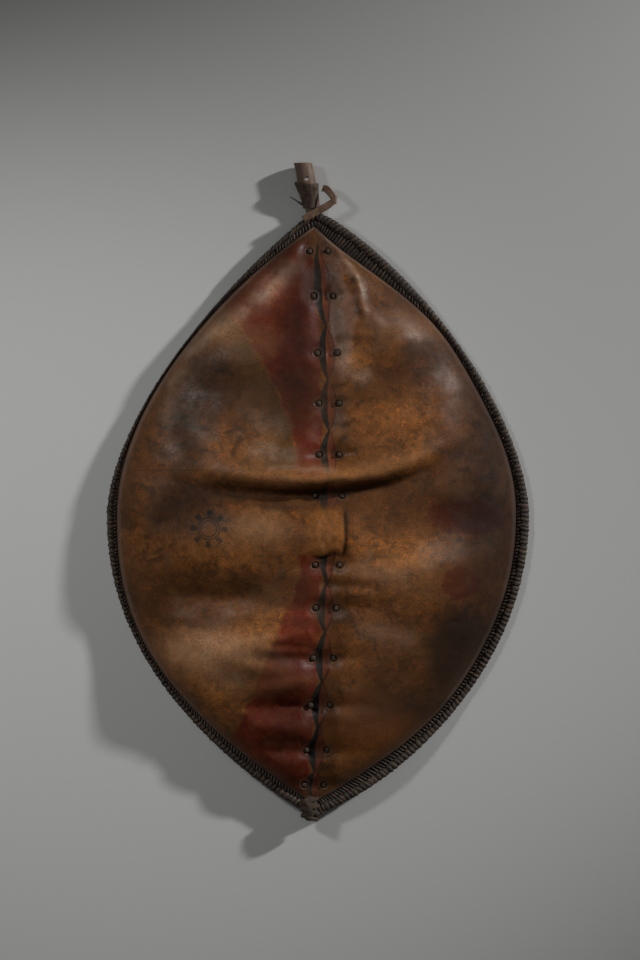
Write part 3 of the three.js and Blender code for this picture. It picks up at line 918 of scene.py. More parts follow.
def painted_chain(skin, specks, ragged):
    """The pale strip, then the chain: its red, its dark links and their thin line."""
    tree = skin.tree
    drift = times(tree, ragged, 0.12)

    def link(name, low, high):
        return band(tree, plus(tree, mark(tree, name), drift), low, high)

    edge = plus(tree, mark(tree, "strip"), times(tree, ragged, 0.7))
    pale = blend(tree, specks, rgb(0.15, 0.066, 0.042), rgb(0.31, 0.165, 0.115))
    skin.cover(band(tree, edge, -4.0, 6.0), 0.75, pale)
    ink = blend(tree, specks, rgb(0.005, 0.007, 0.007), rgb(0.026, 0.032, 0.028))
    skin.cover(link("band_red", -1.2, 1.2), 0.75, rgb(0.16, 0.04, 0.022))
    skin.cover(link("band_dark", -0.9, 1.0), 0.95, ink)
    skin.cover(link("band_line", -0.8, 0.6), 0.6, rgb(0.02, 0.012, 0.01))


def faint_marks(skin, specks):
    """The two rosettes, the olive bulge, the orange tab, an orange painted highlight on the fold's
    brow, and painted shade in the slit.
    """
    tree = skin.tree
    star = rosette(tree, skin.vector, -162, -23, 0.4)
    star = times(tree, star, skin.clouds(0.1, 0.4, 130.0, 4, 0.7))
    skin.cover(star, 0.92, rgb(0.012, 0.012, 0.013))
    skin.cover(rosette(tree, skin.vector, 190, -51, 1.9), 0.55, rgb(0.03, 0.018, 0.015))
    lobe = mark(tree, "lobe")
    olive = times(tree, band(tree, lobe, -1.0, 7.0), band(tree, lobe, 75.0, 12.0))
    skin.cover(olive, 0.7, rgb(0.07, 0.036, 0.013))
    # orange: the tab's own colour, and a painted highlight on the fold's brow
    orange = blend(tree, specks, rgb(0.15, 0.052, 0.014), rgb(0.44, 0.17, 0.045))
    skin.cover(mark(tree, "orange"), 0.8, orange)
    # painted shade: the slit near black
    skin.cover(mark(tree, "slit"), 0.95, rgb(0.012, 0.007, 0.005))


def painted_light_and_wear(skin, ragged, patches):
    """Painted light and shade over the relief, the edge and the lace holes, with some grime at the
    edge, and painted highlight streaks.
    """
    tree = skin.tree
    # painted light on the crests, painted shade in the hollows
    relief = mark(tree, "relief")
    skin.cover(band(tree, relief, 0.5, 7.0), 0.22, rgb(0.31, 0.155, 0.075))
    skin.cover(band(tree, relief, -1.0, -6.0), 0.5, rgb(0.05, 0.022, 0.01))
    # darker towards the edge: painted shade on the steep wall there, with some grime
    edge = mark(tree, "edge")
    shade = plus(tree, edge, times(tree, ragged, 0.6))
    skin.cover(band(tree, shade, 44.0, 8.0), 0.5, rgb(0.07, 0.034, 0.017))
    # a painted highlight along the edge's lip
    lip = plus(tree, edge, times(tree, ragged, 0.25))
    skin.cover(band(tree, lip, 9.0, 4.0), 0.6, rgb(0.19, 0.13, 0.1))
    # painted shade round each lace hole, and near black inside it
    lace = mark(tree, "lace")
    skin.cover(band(tree, lace, 15.0, 7.0), 0.4, rgb(0.06, 0.034, 0.02))
    # a paler ring on each hole's raised lip
    pale_hole_lip = times(tree, band(tree, lace, 8.5, 6.8), band(tree, lace, 4.6, 5.8))
    skin.cover(pale_hole_lip, 0.14, rgb(0.17, 0.11, 0.07))
    skin.cover(band(tree, lace, 4.8, 3.6), 1.0, rgb(0.014, 0.009, 0.006))
    # painted highlights: pale streaks
    highlight_strength = band(tree, patches, 0.3, 0.6, 0.35, 1.0)
    skin.cover(mark(tree, "painted_highlight_streaks"), highlight_strength, rgb(0.4, 0.265, 0.19))


def tone_and_painted_light_gain(skin):
    """Multiplies the colour by two to the power of the tone, a little less in blue; the tone holds
    painted light and shade, with some dirt.
    """
    tree = skin.tree
    gain = maths(tree, "POWER", 2.0, mark(tree, "tone"))
    blue = maths(tree, "POWER", gain, 0.9)
    gain = node(tree, "ShaderNodeCombineXYZ", {0: gain, 1: gain, 2: blue}).outputs[0]
    skin.colour = vectors(tree, "MULTIPLY", skin.colour, gain)


def painted_hide():
    """Glossy mottled rawhide: tan, orange-brown and dark brown clouds, with red paint,
    a dark and red chain, faint rosettes, and painted light and shade: paler crests, darker
    hollows, painted highlights."""
    skin = Finish("painted_rawhide", (0.3, 0.14, 0.06))
    tree = skin.tree
    vector = skin.vector
    specks = skin.mottle(62.0, 2.6)
    patches = noise(tree, vector, 48.0, 5, 0.65)
    ragged = times(tree, minus(tree, patches, 0.5), 26.0)
    mottled_ground(skin, specks)
    painted_areas(skin, specks, ragged)
    painted_chain(skin, specks, ragged)
    faint_marks(skin, specks)
    painted_light_and_wear(skin, ragged, patches)
    tone_and_painted_light_gain(skin)
    skin.cover(skin.clouds(0.54, 0.62, 620.0, 2, 0.6), 0.4, rgb(0.035, 0.017, 0.009))
    cracks = use(tree, crackle_group, vector=vector, scale=110.0, width=0.05, cover=0.42)
    skin.cover(cracks, 0.28, rgb(0.03, 0.014, 0.008))
    skin.cover(skin.clouds(0.55, 0.7, 420.0, 3, 0.6), 0.2, rgb(0.045, 0.02, 0.01))
    is_back = mark(tree, "back")
    raw = blend(tree, skin.mottle(11.0, 3.0), rgb(0.15, 0.1, 0.062), rgb(0.24, 0.17, 0.11))
    skin.cover(is_back, 1.0, raw)

    gloss = band(tree, skin.mottle(34.0, 2.4), 0.1, 0.9, 0.34, 0.5)
    gloss = plus(tree, gloss, times(tree, is_back, 0.3))
    gloss = plus(tree, gloss, band(tree, mark(tree, "tone"), -0.3, -1.6, 0.0, 0.3))
    skin.shader.inputs["IOR"].default_value = 1.45
    skin.shader.inputs["Specular IOR Level"].default_value = 0.2

    grain = use(tree, grain_group, vector=vector, scale=520.0, pits=0.7)
    waves = noise(tree, place(tree, (1, 1.5, 1)), 85.0, 5, 0.62, 0.5)
    normal = bump(tree, waves, 0.0008, 0.4)
    normal = bump(tree, grain, 0.00012, 0.22, normal)
    return skin.done(gloss, bump(tree, minus(tree, 1.0, cracks), 0.0004, 0.3, normal))


def dull_leather(name, deep, worn, scale, roughness, bump_height, by_turn=False):
    """Thong and strap leather: two tones in clouds, with grain, cracks and dust. Where it
    is wound, each turn has a tone of its own, with painted shade where it does not stand proud."""
    strip = Finish(name, worn[:3])
    tree = strip.tree
    clouds = strip.mottle(scale, 2.8)
    strip.colour = blend(tree, clouds, deep, worn)
    if by_turn:
        strip.cover(mark(tree, "tone"), 0.5, rgb(0.13, 0.075, 0.042))
        # painted shade where the turn sinks between its neighbours
        painted_shade_between_turns = minus(tree, 1.0, mark(tree, "proud"), clamp=True)
        strip.cover(painted_shade_between_turns, 1.0, rgb(0.012, 0.009, 0.008))
    strip.cover(strip.clouds(0.56, 0.74, 210.0, 4, 0.7), 0.22, rgb(0.18, 0.125, 0.08))
    cracks = use(tree, crackle_group, vector=strip.vector, scale=300.0, width=0.07, cover=0.55)
    strip.cover(cracks, 0.6, rgb(0.012, 0.009, 0.007))
    grain = use(tree, grain_group, vector=strip.vector, scale=900.0, pits=0.7)
    normal = bump(tree, noise(tree, strip.vector, 260.0, 4, 0.65, 0.6), bump_height, 0.8)
    gloss = band(tree, clouds, 0.0, 1.0, roughness - 0.08, roughness + 0.08)
    return strip.done(gloss, bump(tree, grain, bump_height * 0.3, 0.6, normal))


def bare_wood():
    """Hand-worked stave wood: long grain along the stave, handling grime, and pores."""
    wood = Finish("bare_stave_wood", (0.3, 0.2, 0.13))
    tree = wood.tree
    grain = noise(tree, place(tree, (1, 0.06, 1)), 420.0, 5, 0.65, 0.5)
    long_grain = band(tree, grain, 0.3, 0.7)
    wood.colour = blend(tree, long_grain, rgb(0.075, 0.042, 0.026), rgb(0.2, 0.125, 0.083))
    bands = wood.mottle(60.0, 2.2, place(tree, (1, 0.25, 1)))
    wood.cover(bands, 0.5, rgb(0.17, 0.095, 0.06))
    pores = wood.clouds(0.6, 0.7, 1100.0, 2, 0.5, stretch=(1, 0.03, 1))
    wood.cover(pores, 0.5, rgb(0.03, 0.018, 0.012))
    normal = bump(tree, pores, 0.0002, -0.6, bump(tree, grain, 0.0005, 0.6))
    return wood.done(band(tree, grain, 0.2, 0.8, 0.66, 0.5), normal)


hide_finish = painted_hide()
wood_finish = bare_wood()
rim_finish = dull_leather(
    "bound_thong", rgb(0.012, 0.007, 0.005), rgb(0.06, 0.034, 0.019), 140.0, 0.55, 0.0006,
    by_turn=True,
)
rod_finish = dull_leather(
    "rim_rod", rgb(0.01, 0.007, 0.005), rgb(0.035, 0.02, 0.012), 90.0, 0.7, 0.0006
)
lace_finish = dull_leather(
    "lacing_thong", rgb(0.022, 0.013, 0.008), rgb(0.085, 0.047, 0.027), 160.0, 0.78, 0.0009
)
sleeve_finish = dull_leather(
    "sleeve_leather", rgb(0.032, 0.017, 0.01), rgb(0.13, 0.075, 0.045), 110.0, 0.6, 0.0009
)
strap_finish = dull_leather(
    "strap_leather", rgb(0.075, 0.04, 0.024), rgb(0.3, 0.17, 0.1), 120.0, 0.5, 0.0005
)

# ---------- the hide ----------


def row_fractions():
    """Rows from tip to tip. They crowd at both tips and at every lacing place."""
    even = np.linspace(-1, 1, 4001)
    y = even * hide_half_length(even)
    density = 1 + 1.4 * smooth(0.86, 1, np.abs(even))
    for place_y, _, _, _ in LACING:
        density = density + 1.9 * bell(y - place_y, 11)
    total = np.concatenate([[0], np.cumsum((density[1:] + density[:-1]) / 2)])
    return np.interp(np.linspace(0, total[-1], HIDE_ROWS + 1), total, even)


def column_fractions(count):
    """Columns from edge to edge, closest at the middle line and at the edges."""
    s = np.linspace(-1, 1, count + 1)
    size = np.abs(s)
    u = 0.22 * size + 0.52 * size * size * (3 - 2 * size) + 0.26 * np.sin(size * np.pi / 2)
    return np.sign(s) * u / u[-1]


def hide_points(columns, inset, tip_inset, thickness):
    """The front or back sheet: place by row and column, height by front_height. Rows run
    straight across from edge to edge, and all meet in one point at each tip."""
    fraction = row_fractions()[:, None]
    u = column_fractions(columns)[None, :]
    half_length = hide_half_length(fraction)
    foot = hide_foot(fraction * half_length)
    y = fraction * (half_length - tip_inset) + 0 * u
    middle = midline_x(y)
    left = hide_edge_x(-1, y) + inset
    right = hide_edge_x(1, y) - inset
    size = np.abs(u) + 0 * y
    x = middle + size * np.where(u < 0, left - middle, right - middle)
    relief_fade = (1 - size ** 10) * smooth(1.0, 0.93, np.abs(fraction))
    height = front_height(x, y, size) - thickness * (1 - size ** 8)
    detail = (wrinkles(x, y) + lacing_pull(x, y)) * relief_fade
    if thickness:
        detail = detail * smooth(1.0, 5.0, height)
    z = foot + np.maximum(height + detail, 0)
    tip = np.abs(fraction) >= 1
    x = np.where(tip, hide_edge_x(1, fraction * half_length), x)
    return np.stack([x, y, np.where(tip, foot, z)], -1)


def oval_area(x, y, cx, cy, reach_x, reach_y):
    """Distance inside an oval's edge, in millimetres, near enough."""
    return (1 - np.hypot((x - cx) / reach_x, (y - cy) / reach_y)) * min(reach_x, reach_y)


def tone(x, y):
    """Painted light and shade, with some dirt, in doublings of brightness: a sum of oval bells."""
    wander_x = x + 12 * lattice_noise(x, y, 40, 18)
    wander_y = y + 10 * lattice_noise(x, y, 34, 19)
    total = 0 * x
    for px, py, reach_x, reach_y, stops in PAINTED_LIGHT_AND_DIRT:
        away = np.hypot((wander_x - px) / reach_x, (wander_y - py) / reach_y)
        total = total + stops * bell(away, 1)
    # a painted highlight along the fold's brow, and painted shade in the narrow furrow under it
    away = y - fold_y(x)
    brow = bell((x - 10) / 120, 1) * (0.3 * bell(away - 1, 10) - 0.9 * bell(away + 24, 7))
    return total + brow + 0.15


def painted_highlight_streaks(x, y):
    """Painted highlights as pale streaks: the greatest of the bells across each streak's line."""
    wander = 3 * lattice_noise(x, y, 16, 20)
    total = 0 * x
    for line in PAINTED_HIGHLIGHTS:
        total = np.maximum(total, crease(x + wander, y + wander, *line))
    return total


def orange_tab_and_brow_highlight(x, y):
    """The tab's own orange, and an orange painted highlight on the fold's brow in the middle of
    the shield.
    """
    brow = bell((x - 10) / 130, 1) * bell(y - fold_y(x) + 3, 11)
    return np.maximum(tab_area(x, y), 0.8 * brow)


def strip_area(x, y):
    """The pale strip right of the middle line in the upper half."""
    seam = x - midline_x(y)
    wide = 42 + 7 * np.sin(y / 21) + 6 * lattice_noise(x, y, 30, 17)
    inside = np.minimum(seam - 4, wide - seam)
    return np.clip(np.minimum(inside, (y - 205) / 2), -30, 30)


def upper_arc(y):
    """The arc that parts the upper left half's bulge from the red beside the midline."""
    return -31 - 113 * np.maximum((y - 64) / 252, 0) ** 1.8


def upper_lobe(x, y):
    """Distance left of the upper arc."""
    return np.where(y > 64, upper_arc(y) - x, -40)


def red_area(x, y):
    """The painted red areas: two beside the middle line on the left, two on the right."""
    seam = x - midline_x(y)
    upper = np.minimum(np.minimum(x - upper_arc(y), -9 - seam), y - 55)
    lower_arc = -29 - 98 * np.clip((-95 - y) / 240, 0, 1.05) ** 1.1
    lower = np.minimum(np.minimum(x - lower_arc, -8 - seam), -60 - y)
    right = np.maximum(oval_area(x, y, 218, -6, 58, 26), oval_area(x, y, 214, -104, 30, 24))
    return np.clip(np.maximum(np.maximum(upper, lower), right), -40, 40)


def chain_areas(x, y):
    """A dark band that bows out to the left between each two joints of the chain, the
    red between it and a slighter bow on the right, and the thin line that edges the red."""
    seam = x - midline_x(y) + 1.5 * lattice_noise(x, y, 14, 9)
    bow = 0 * x
    for top, bottom in zip(CHAIN_JOINTS[:-1], CHAIN_JOINTS[1:]):
        way = (top - y) / (top - bottom)
        inside = (way >= 0) & (way <= 1)
        bow = np.where(inside, np.sin(np.pi * np.clip(way, 0, 1)) ** 0.75, bow)
    ends = smooth(-436, -424, y) * smooth(414, 402, y)
    dark = 1.3 + 4.3 * bow - np.abs(seam + 7.5 * bow)
    red = np.minimum(seam + 7.5 * bow, 10.5 * bow + 1 - seam)
    line = 1.0 - np.abs(seam - 10.5 * bow)
    return [np.clip(area * ends - 9 * (1 - ends), -20, 20) for area in (dark, red, line)]


def hide_quads():
    """Front sheet, back sheet and the narrow foot between their edges, closed."""
    rows = HIDE_ROWS + 1
    front_step = HIDE_COLUMNS + 1
    back_step = BACK_COLUMNS + 1
    start = rows * front_step
    front = grid_faces(rows, front_step)
    back = grid_faces(rows, back_step, start=start)[:, ::-1]
    fl = np.arange(HIDE_ROWS) * front_step
    bl = start + np.arange(HIDE_ROWS) * back_step
    left = np.stack([fl, fl + front_step, bl + back_step, bl], -1)
    fr = fl + HIDE_COLUMNS
    br = bl + BACK_COLUMNS
    right = np.stack([fr, br, br + back_step, fr + front_step], -1)
    return np.concatenate([front, back, left, right])


def make_hide():
    """One closed sheet, marked with its painted, worn and dirty areas and with its painted light
    and shade.
    """
    front = hide_points(HIDE_COLUMNS, GAP + 0.1, GAP + 0.3, 0).reshape(-1, 3)
    thick = HIDE_THICKNESS
    back = hide_points(BACK_COLUMNS, thick + GAP, thick + 4, thick).reshape(-1, 3)
    points = np.concatenate([front, back])
    x, y, _ = points.T
    left = x < midline_x(y)
    edge_gap = np.where(left, x - hide_edge_x(-1, y), hide_edge_x(1, y) - x)
    # painted light: two paler patches where slopes on the left face the lamps
    pale = (oval_area(x, y, -172, -205, 105, 42), oval_area(x, y, -88, -20, 52, 26))
    band_dark, band_red, band_line = chain_areas(x, y)
    marks = {
        "red": red_area(x, y),
        "dark": oval_area(x, y, 212, -215, 50, 70),
        # painted shade over the lower right
        "painted_shade_lower_right": oval_area(x, y, 175, -300, 150, 175),
        "pale": np.maximum(*pale),
        "gold": oval_area(x, y, 70, -315, 70, 48),
        "band_dark": band_dark,
        "band_red": band_red,
        "band_line": band_line,
        "strip": strip_area(x, y),
        "slit": slit_area(x, y),
        # tone: painted light and shade, with some dirt
        "tone": tone(x, y),
        "edge": np.clip(edge_gap, 0, 60),
        "lace": np.clip(lace_distance(x, y), 0, 60),
        "relief": swell(x, y) - 2.0 + wrinkles(x, y),
        "back": np.arange(len(points)) >= len(front),
        # the tab's orange, and a painted highlight on the fold's brow
        "orange": orange_tab_and_brow_highlight(x, y),
        # painted highlights as pale streaks
        "painted_highlight_streaks": painted_highlight_streaks(x, y),
        "lobe": np.clip(upper_lobe(x, y), -40, 90),
    }
    quads = hide_quads()
    piece = make_piece("hide", points, quads, ["hide_shell"], hide_finish, marks)
    merge_doubles(piece, 0.00002)
    return piece


def merge_doubles(piece, distance):
    """Welds points that share one place, such as a whole row at a tip."""
    work = bmesh.new()
    work.from_mesh(piece.data)
    bmesh.ops.remove_doubles(work, verts=work.verts, dist=distance)
    work.to_mesh(piece.data)
    work.free()


# ---------- the bound rim ----------


def rim_loop():
    """Gives a function from the distance along the rim to the outer point, the inward way,
    the visible width and the lift there, and the rim's whole length."""
    f = np.sin(np.linspace(-np.pi / 2, np.pi / 2, 1500))
    sides = []
    for side, order in ((1, f), (-1, f[::-1][1:])):
        outer = np.stack([oval_x(side, order, HALF_WIDTH, OUTLINE), order * HALF_LENGTH], -1)
        y = order * hide_half_length(order)
        inner = np.stack([hide_edge_x(side, y), y], -1)
        sides.append((outer, inner, tip_lift(y)))
    outer, inner, lift = [np.concatenate(both) for both in zip(*sides)]
    step = np.linalg.norm(np.diff(outer, axis=0), axis=1)
    length = np.concatenate([[0], np.cumsum(step)])
    way = unit(inner - outer)
    width = np.linalg.norm(inner - outer, axis=1)
    fields = np.column_stack([outer, way, width, lift])

    def at(distance):
        wrapped = np.mod(distance, length[-1])
        found = np.stack([np.interp(wrapped, length, fields[:, k]) for k in range(6)], -1)
        found[..., 2:4] = unit(found[..., 2:4])
        return found

    return at, length[-1]


rim_at, RIM_LENGTH = rim_loop()


def rim_place(found, inward, z):
    """A point so far inward from the outline and so high above the rim's own underside."""
    x = found[..., 0] + found[..., 2] * inward
    y = found[..., 1] + found[..., 3] * inward
    return np.stack([x, y, z + found[..., 5]], -1)


def rod_width(found):
    """The outer roll of the binding, narrower than the rim where an inner row shows too."""
    return np.clip(0.62 * found[..., 4] + 0.8, 6.5, 13)


def make_rim_rod():
    """The rod and the flange inside it: flat foot, inner step, flange, half-round rod."""
    stations = 720
    found = rim_at(np.linspace(0, RIM_LENGTH, stations, endpoint=False))[:, None]
    width = found[..., 4]
    rod = rod_width(found)
    turn = np.linspace(0, np.pi, 12)[None, :]
    arch_in = rod / 2 + (rod / 2 - 0.6) * np.cos(turn)
    arch_z = ROD_Z + ROD_RISE * np.sin(turn) ** ROD_ROUND
    ones = np.ones((stations, 1))
    ledge = width + LEDGE_WIDTH
    inward = np.concatenate([3.5 * ones, ledge, ledge, width, rod + 1.0, arch_in, 1.2 * ones], 1)
    wave = 0.5 * lattice_noise(found[..., 0], found[..., 1], 16, 21)
    z = np.concatenate(
        [0 * ones, 0 * ones, 5.6 * ones, 5.8 + wave, 6.6 + wave, arch_z * ones, 1.6 * ones], 1
    )
    points = rim_place(found, inward, z)
    faces = grid_faces(stations, points.shape[1], wrap_rows=True, wrap_columns=True)
    return make_piece("rim_rod", points, faces, ["rim_binding"], rod_finish)


def make_turns(name, points, paler, proud):
    """One piece from many short closed tubes, marked with how pale and proud they are."""
    count, rows, sides, _ = points.shape
    faces = turn_faces(rows, sides, count)
    ones = np.ones((count, rows, sides))
    marks = {"tone": paler * ones, "proud": proud * ones}
    return make_piece(name, points, faces, ["rim_binding"], rim_finish, marks)


def make_inner_row():
    """Where the rim shows wide: short flat stitches between the outer roll and the hide,
    slanted the other way, each a small round-backed pad."""
    count = int(RIM_LENGTH / INNER_PITCH)
    random = np.random.default_rng(23)
    along = np.arange(count) * RIM_LENGTH / count
    found = rim_at(along)
    keep = found[:, 4] - rod_width(found) > 2.2
    along = along[keep][:, None, None]
    count = len(along)
    half = random.uniform(1.5, 2.5, (count, 1, 1))
    slant = random.normal(-2.6, 0.9, (count, 1, 1))
    rise = random.uniform(1.4, 3.0, (count, 1, 1))
    way = np.linspace(0, 1, 9)[None, :, None]
    across = np.linspace(0, 2 * np.pi, 9)[None, None, :-1]
    middle = rim_at(along + 0 * way)
    roll = rod_width(middle)
    inward = roll - 1.5 + (middle[..., 4] - roll + 3.0) * way
    pinch = 0.55 + 0.45 * np.sin(np.pi * way)
    found = rim_at(along + slant * (way - 0.5) + half * pinch * np.cos(across))
    arch = np.sin(np.pi * np.clip(way * 0.96 + 0.02, 0, 1)) ** 0.5
    z = 6.0 + rise * arch * (0.35 + 0.65 * np.sin(across)) + 1.2 * (1 - way)
    points = rim_place(found, inward + 0 * across, z)
    paler = smooth(0.55, 1.0, random.uniform(0, 1, (count, 1, 1)))
    proud = np.clip(0.45 + 0.6 * np.sin(across), 0, 1) * arch
    return make_turns("rim_inner_row", points, paler, proud)


def make_rim_lacing():
    """One flat thong turn after another over the rod. Each turn is an arch across the rod,
    with a round-backed section along it, and its own slant, width, height and tone."""
    count = int(RIM_LENGTH / STITCH_PITCH)
    random = np.random.default_rng(12)
    along = np.arange(count) * RIM_LENGTH / count
    slant = random.normal(0.9, 0.7, (count, 1, 1))
    half = random.uniform(2.5, 3.4, (count, 1, 1))
    rise = random.uniform(0.8, 1.9, (count, 1, 1))
    drift = random.normal(0, 0.5, (count, 1, 1))
    turn = np.linspace(-0.2, np.pi + 0.32, 15)[None, :, None]
    across = np.linspace(0, 2 * np.pi, 9)[None, None, :-1]
    centre = along[:, None, None] + drift + slant * (turn - np.pi / 2)
    pinch = 0.72 + 0.28 * np.sin(np.clip(turn, 0, np.pi))
    found = rim_at(centre + half * pinch * np.cos(across))
    rod = rod_width(found)
    ends = smooth(-0.25, 0.25, turn) * smooth(np.pi + 0.35, np.pi - 0.1, turn)
    thick = (rise * (0.5 + 0.5 * np.sin(across)) - 0.5) * (0.35 + 0.65 * ends)
    inward = rod / 2 - (rod / 2 + 0.1 + thick) * np.cos(turn) + 0.5
    arch = signed_power(np.sin(turn), ROD_ROUND)
    z = ROD_Z + (ROD_RISE + thick) * arch - 1.2 * np.clip(-turn, 0, 1)
    points = rim_place(found, inward, np.maximum(z, 1.0))
    paler = smooth(0.4, 1.0, random.uniform(0, 1, (count, 1, 1)))
    paler = paler * (0.4 + 0.6 * np.sin(np.clip(turn, 0, np.pi)))
    proud = 0.25 + 0.75 * np.clip(0.5 + 0.62 * np.sin(across), 0, 1)
    return make_turns("rim_lacing", points, paler, proud)


# ---------- the stave ----------


def make_stave():
    """A superellipse section along the stave, hand-carved uneven, with a sawn top end."""
    y = np.concatenate([np.linspace(STAVE_BOTTOM_Y, 440, 240), np.linspace(442, STAVE_TOP_Y, 60)])
    half_width, middle, thickness = stave_size(y)
    sides = 32
    turn = -2 * np.pi * (np.arange(sides) + 0.5) / sides
    power = 3.2 - 1.1 * bare_share(y)[:, None]
    cos = signed_power(np.cos(turn), 2 / power)
    sin = signed_power(np.sin(turn), 2 / power)
    round_place = 40 * np.cos(turn)[None] + 0 * y[:, None]
    wobble = 1 + 0.03 * lattice_noise(round_place, y[:, None], 23, 31) - 0.02
    x = midline_x(y)[:, None] + half_width[:, None] * cos * wobble
    z = middle[:, None] + thickness[:, None] / 2 * sin * wobble
    rings = np.stack([x, y[:, None] + 0 * x, z], -1)
    caps = []
    shrink = ((0.95, 0.7), (0.8, 0.95), (0.4, 0.8), (0.05, 0.9))
    for end, way in ((0, -1), (-1, 1)):
        centre = np.array([midline_x(y[end]), y[end], middle[end]])
        cap = [centre + (rings[end] - centre) * s + [0, way * (t - 0.9), 0] for s, t in shrink]
        caps.append(np.stack(cap))
    rings = np.concatenate([caps[0][::-1], rings, caps[1]])
    return make_tubes("carved_stave", [rings], ["stave"], wood_finish)


def drill_cord_hole(piece):
    """Cuts the small round hole through the stave's bare end."""
    x, y, radius = CORD_HOLE
    middle = Vector(RIM_MIDDLE) + Vector((x * MM, y * MM, 0.015))
    bpy.ops.mesh.primitive_cylinder_add(
        vertices=32, radius=radius * MM, depth=0.08, location=middle
    )
    drill = bpy.context.object
    cut = piece.modifiers.new("cord hole", "BOOLEAN")
    cut.object = drill
    cut.solver = "EXACT"
    graph = bpy.context.evaluated_depsgraph_get()
    cut_mesh = bpy.data.meshes.new_from_object(piece.evaluated_get(graph))
    piece.modifiers.clear()
    piece.data = cut_mesh
    bpy.data.objects.remove(drill)


# ---------- lacing, sleeve, strap, tail and knot ----------


def make_lashings():
    """Each thong fills its two holes and crosses flat under the stave."""
    for index, (y, half_span, _, _) in enumerate(LACING):
        random = np.random.default_rng(50 + index)
        middle = float(midline_x(y))
        half_width, centre, thickness = [float(v) for v in stave_size(np.float64(y))]
        beside = half_width + GAP + 2.2
        under = centre - thickness / 2 - GAP - 1.6
        legs = []
        for side in (-1, 1):
            hole = middle + side * half_span
            front = float(front_z(np.float64(hole), np.float64(y)))
            top = front - 4.6 + random.uniform(-0.5, 0.8)
            legs.append([
                (hole + random.uniform(-0.6, 0.6), y, top),
                (hole, y, top - 5),
                (hole - side * 0.6, y, top - 9),
                (middle + side * beside, y, under + 8),
                (middle + side * (beside - 0.5), y, under + 2.5),
                (middle + side * (beside - 4), y, under),
                (middle + side * 3, y, under),
            ])
        path = smooth_path(legs[0] + legs[1][::-1], 90)
        way = np.linspace(-1, 1, 90)
        plug = smooth(0.8, 0.93, np.abs(way))
        wide = 2.5 + 1.5 * plug + 0.3 * np.sin(13 * way + index)
        thick = 1.5 + 2.2 * plug + 0.3 * plug * np.sin(9 * way + 2 * index)
        rings = tube_rings(path, (0, 1, 0), wide, thick, 18, 2.6)
        number = f"{index + 1:02d}"
        replaced = [f"lashing_{number}"]
        make_tubes(f"laced_thong_{number}", [rings], replaced, lace_finish)


def make_sleeve():
    """Leather wrapped round the stave above the rim: a tube with a flared, uneven upper
    lip, wrapped edge and puckers, turned in at both ends."""
    rows = 44
    sides = 72
    way = np.linspace(0, 1, rows)[:, None]
    turn = 2 * np.pi * np.arange(sides)[None] / sides
    y = SLEEVE_START_Y + SLEEVE_LENGTH * way
    half_width, middle, thickness = stave_size(y)
    flare = 2.2 + 1.3 * smooth(0.6, 1, way)
    flare = flare + 0.9 * bell(turn - 2.7, 0.7) * smooth(0.7, 1.0, way)
    pucker = 0.45 * np.sin(5 * turn + 6 * way)
    pucker = pucker + 0.35 * lattice_noise(26 * np.cos(turn), y * 1.4 + 9 * turn, 6, 41)
    lap = 0.7 * smooth(1.2, 1.3, turn) * smooth(4.8, 3.2, turn)
    grow = flare + pucker * 0.8 + lap
    y = y + (0.8 * np.sin(3 * turn + 1) + 1.6 * bell(turn - 2.7, 0.6)) * smooth(0.8, 1.0, way)

    def shell(grown, lowest):
        x = midline_x(y) + (half_width + grown) * np.cos(turn)
        z = middle + (thickness / 2 + grown) * np.sin(turn)
        return np.stack([x, y, np.maximum(z, lowest)], -1)

    points = np.concatenate([shell(grow, 0.4), shell(GAP, -np.inf)[::-1]])
    faces = grid_faces(2 * rows, sides, wrap_rows=True, wrap_columns=True)[:, ::-1]
    return make_piece("wrapped_sleeve", points, faces, ["neck_sleeve"], sleeve_finish)


def make_strap():
    """A flat strap that leaves the sleeve, folds back over itself and crosses the tip."""
    route = (
        (6.5, 487, 18, 0.3, 1, 0, 0, 1),
        (12, 486, 23, 0.7, 0.7, 0, 0, 1),
        (18.5, 479, 27.5, 0.82, 0.57, 0, 0, 1),
        (25.2, 470, 31.0, 0.3, 1, 0, 0, 1),
        (27.4, 468.8, 33, 0.13, 1, -1, 0, 0),
        (25.2, 468, 34.9, -0.1, 1, 0, 0, -1),
        (14, 460, 34.8, -0.51, 0.86, 0, 0, -1),
        (-4, 450, 34, -0.5, 0.86, 0, 0, -1),
        (-22, 440, 32.8, -0.5, 0.86, 0, 0, -1),
    )
    fine = smooth_path(route, 110)
    centre = fine[:, :3]
    across = unit(np.column_stack([fine[:, 3:5], 0 * fine[:, 0]]))
    face = unit(fine[:, 5:8] + 1e-6)
    way = np.linspace(0, 1, 110)
    half = 5.3 + 0.9 * bell(way - 0.5, 0.08) + 0.3 * np.sin(17 * way)
    curl = 0.5 * np.sin(9 * way + 1)
    turn = 2 * np.pi * (np.arange(20) + 0.5) / 20
    cos = signed_power(np.cos(turn), 0.5)
    sin = signed_power(np.sin(turn), 0.8)
    thick = 0.95 * sin + curl[:, None] * (cos ** 2 - 0.4)
    rings = section_rings(centre, across, face, half[:, None] * cos, thick)
    return make_tubes("folded_strap", [rings], ["apex_strap"], strap_finish)


def make_thong_tail():
    """A thin stiff thong end, tapering to its tip."""
    route = ((-23.5, 463, 15), (-30, 467, 17), (-36, 471, 18.5), (-42, 474.5, 19.5))
    path = smooth_path(route, 30)
    taper = np.linspace(1, 0.45, 30)
    rings = tube_rings(path, (0, 0, 1), 1.8 * taper, 1.4 * taper, 12, 2.4)
    return make_tubes("thong_end", [rings], ["thong_tail"], lace_finish)


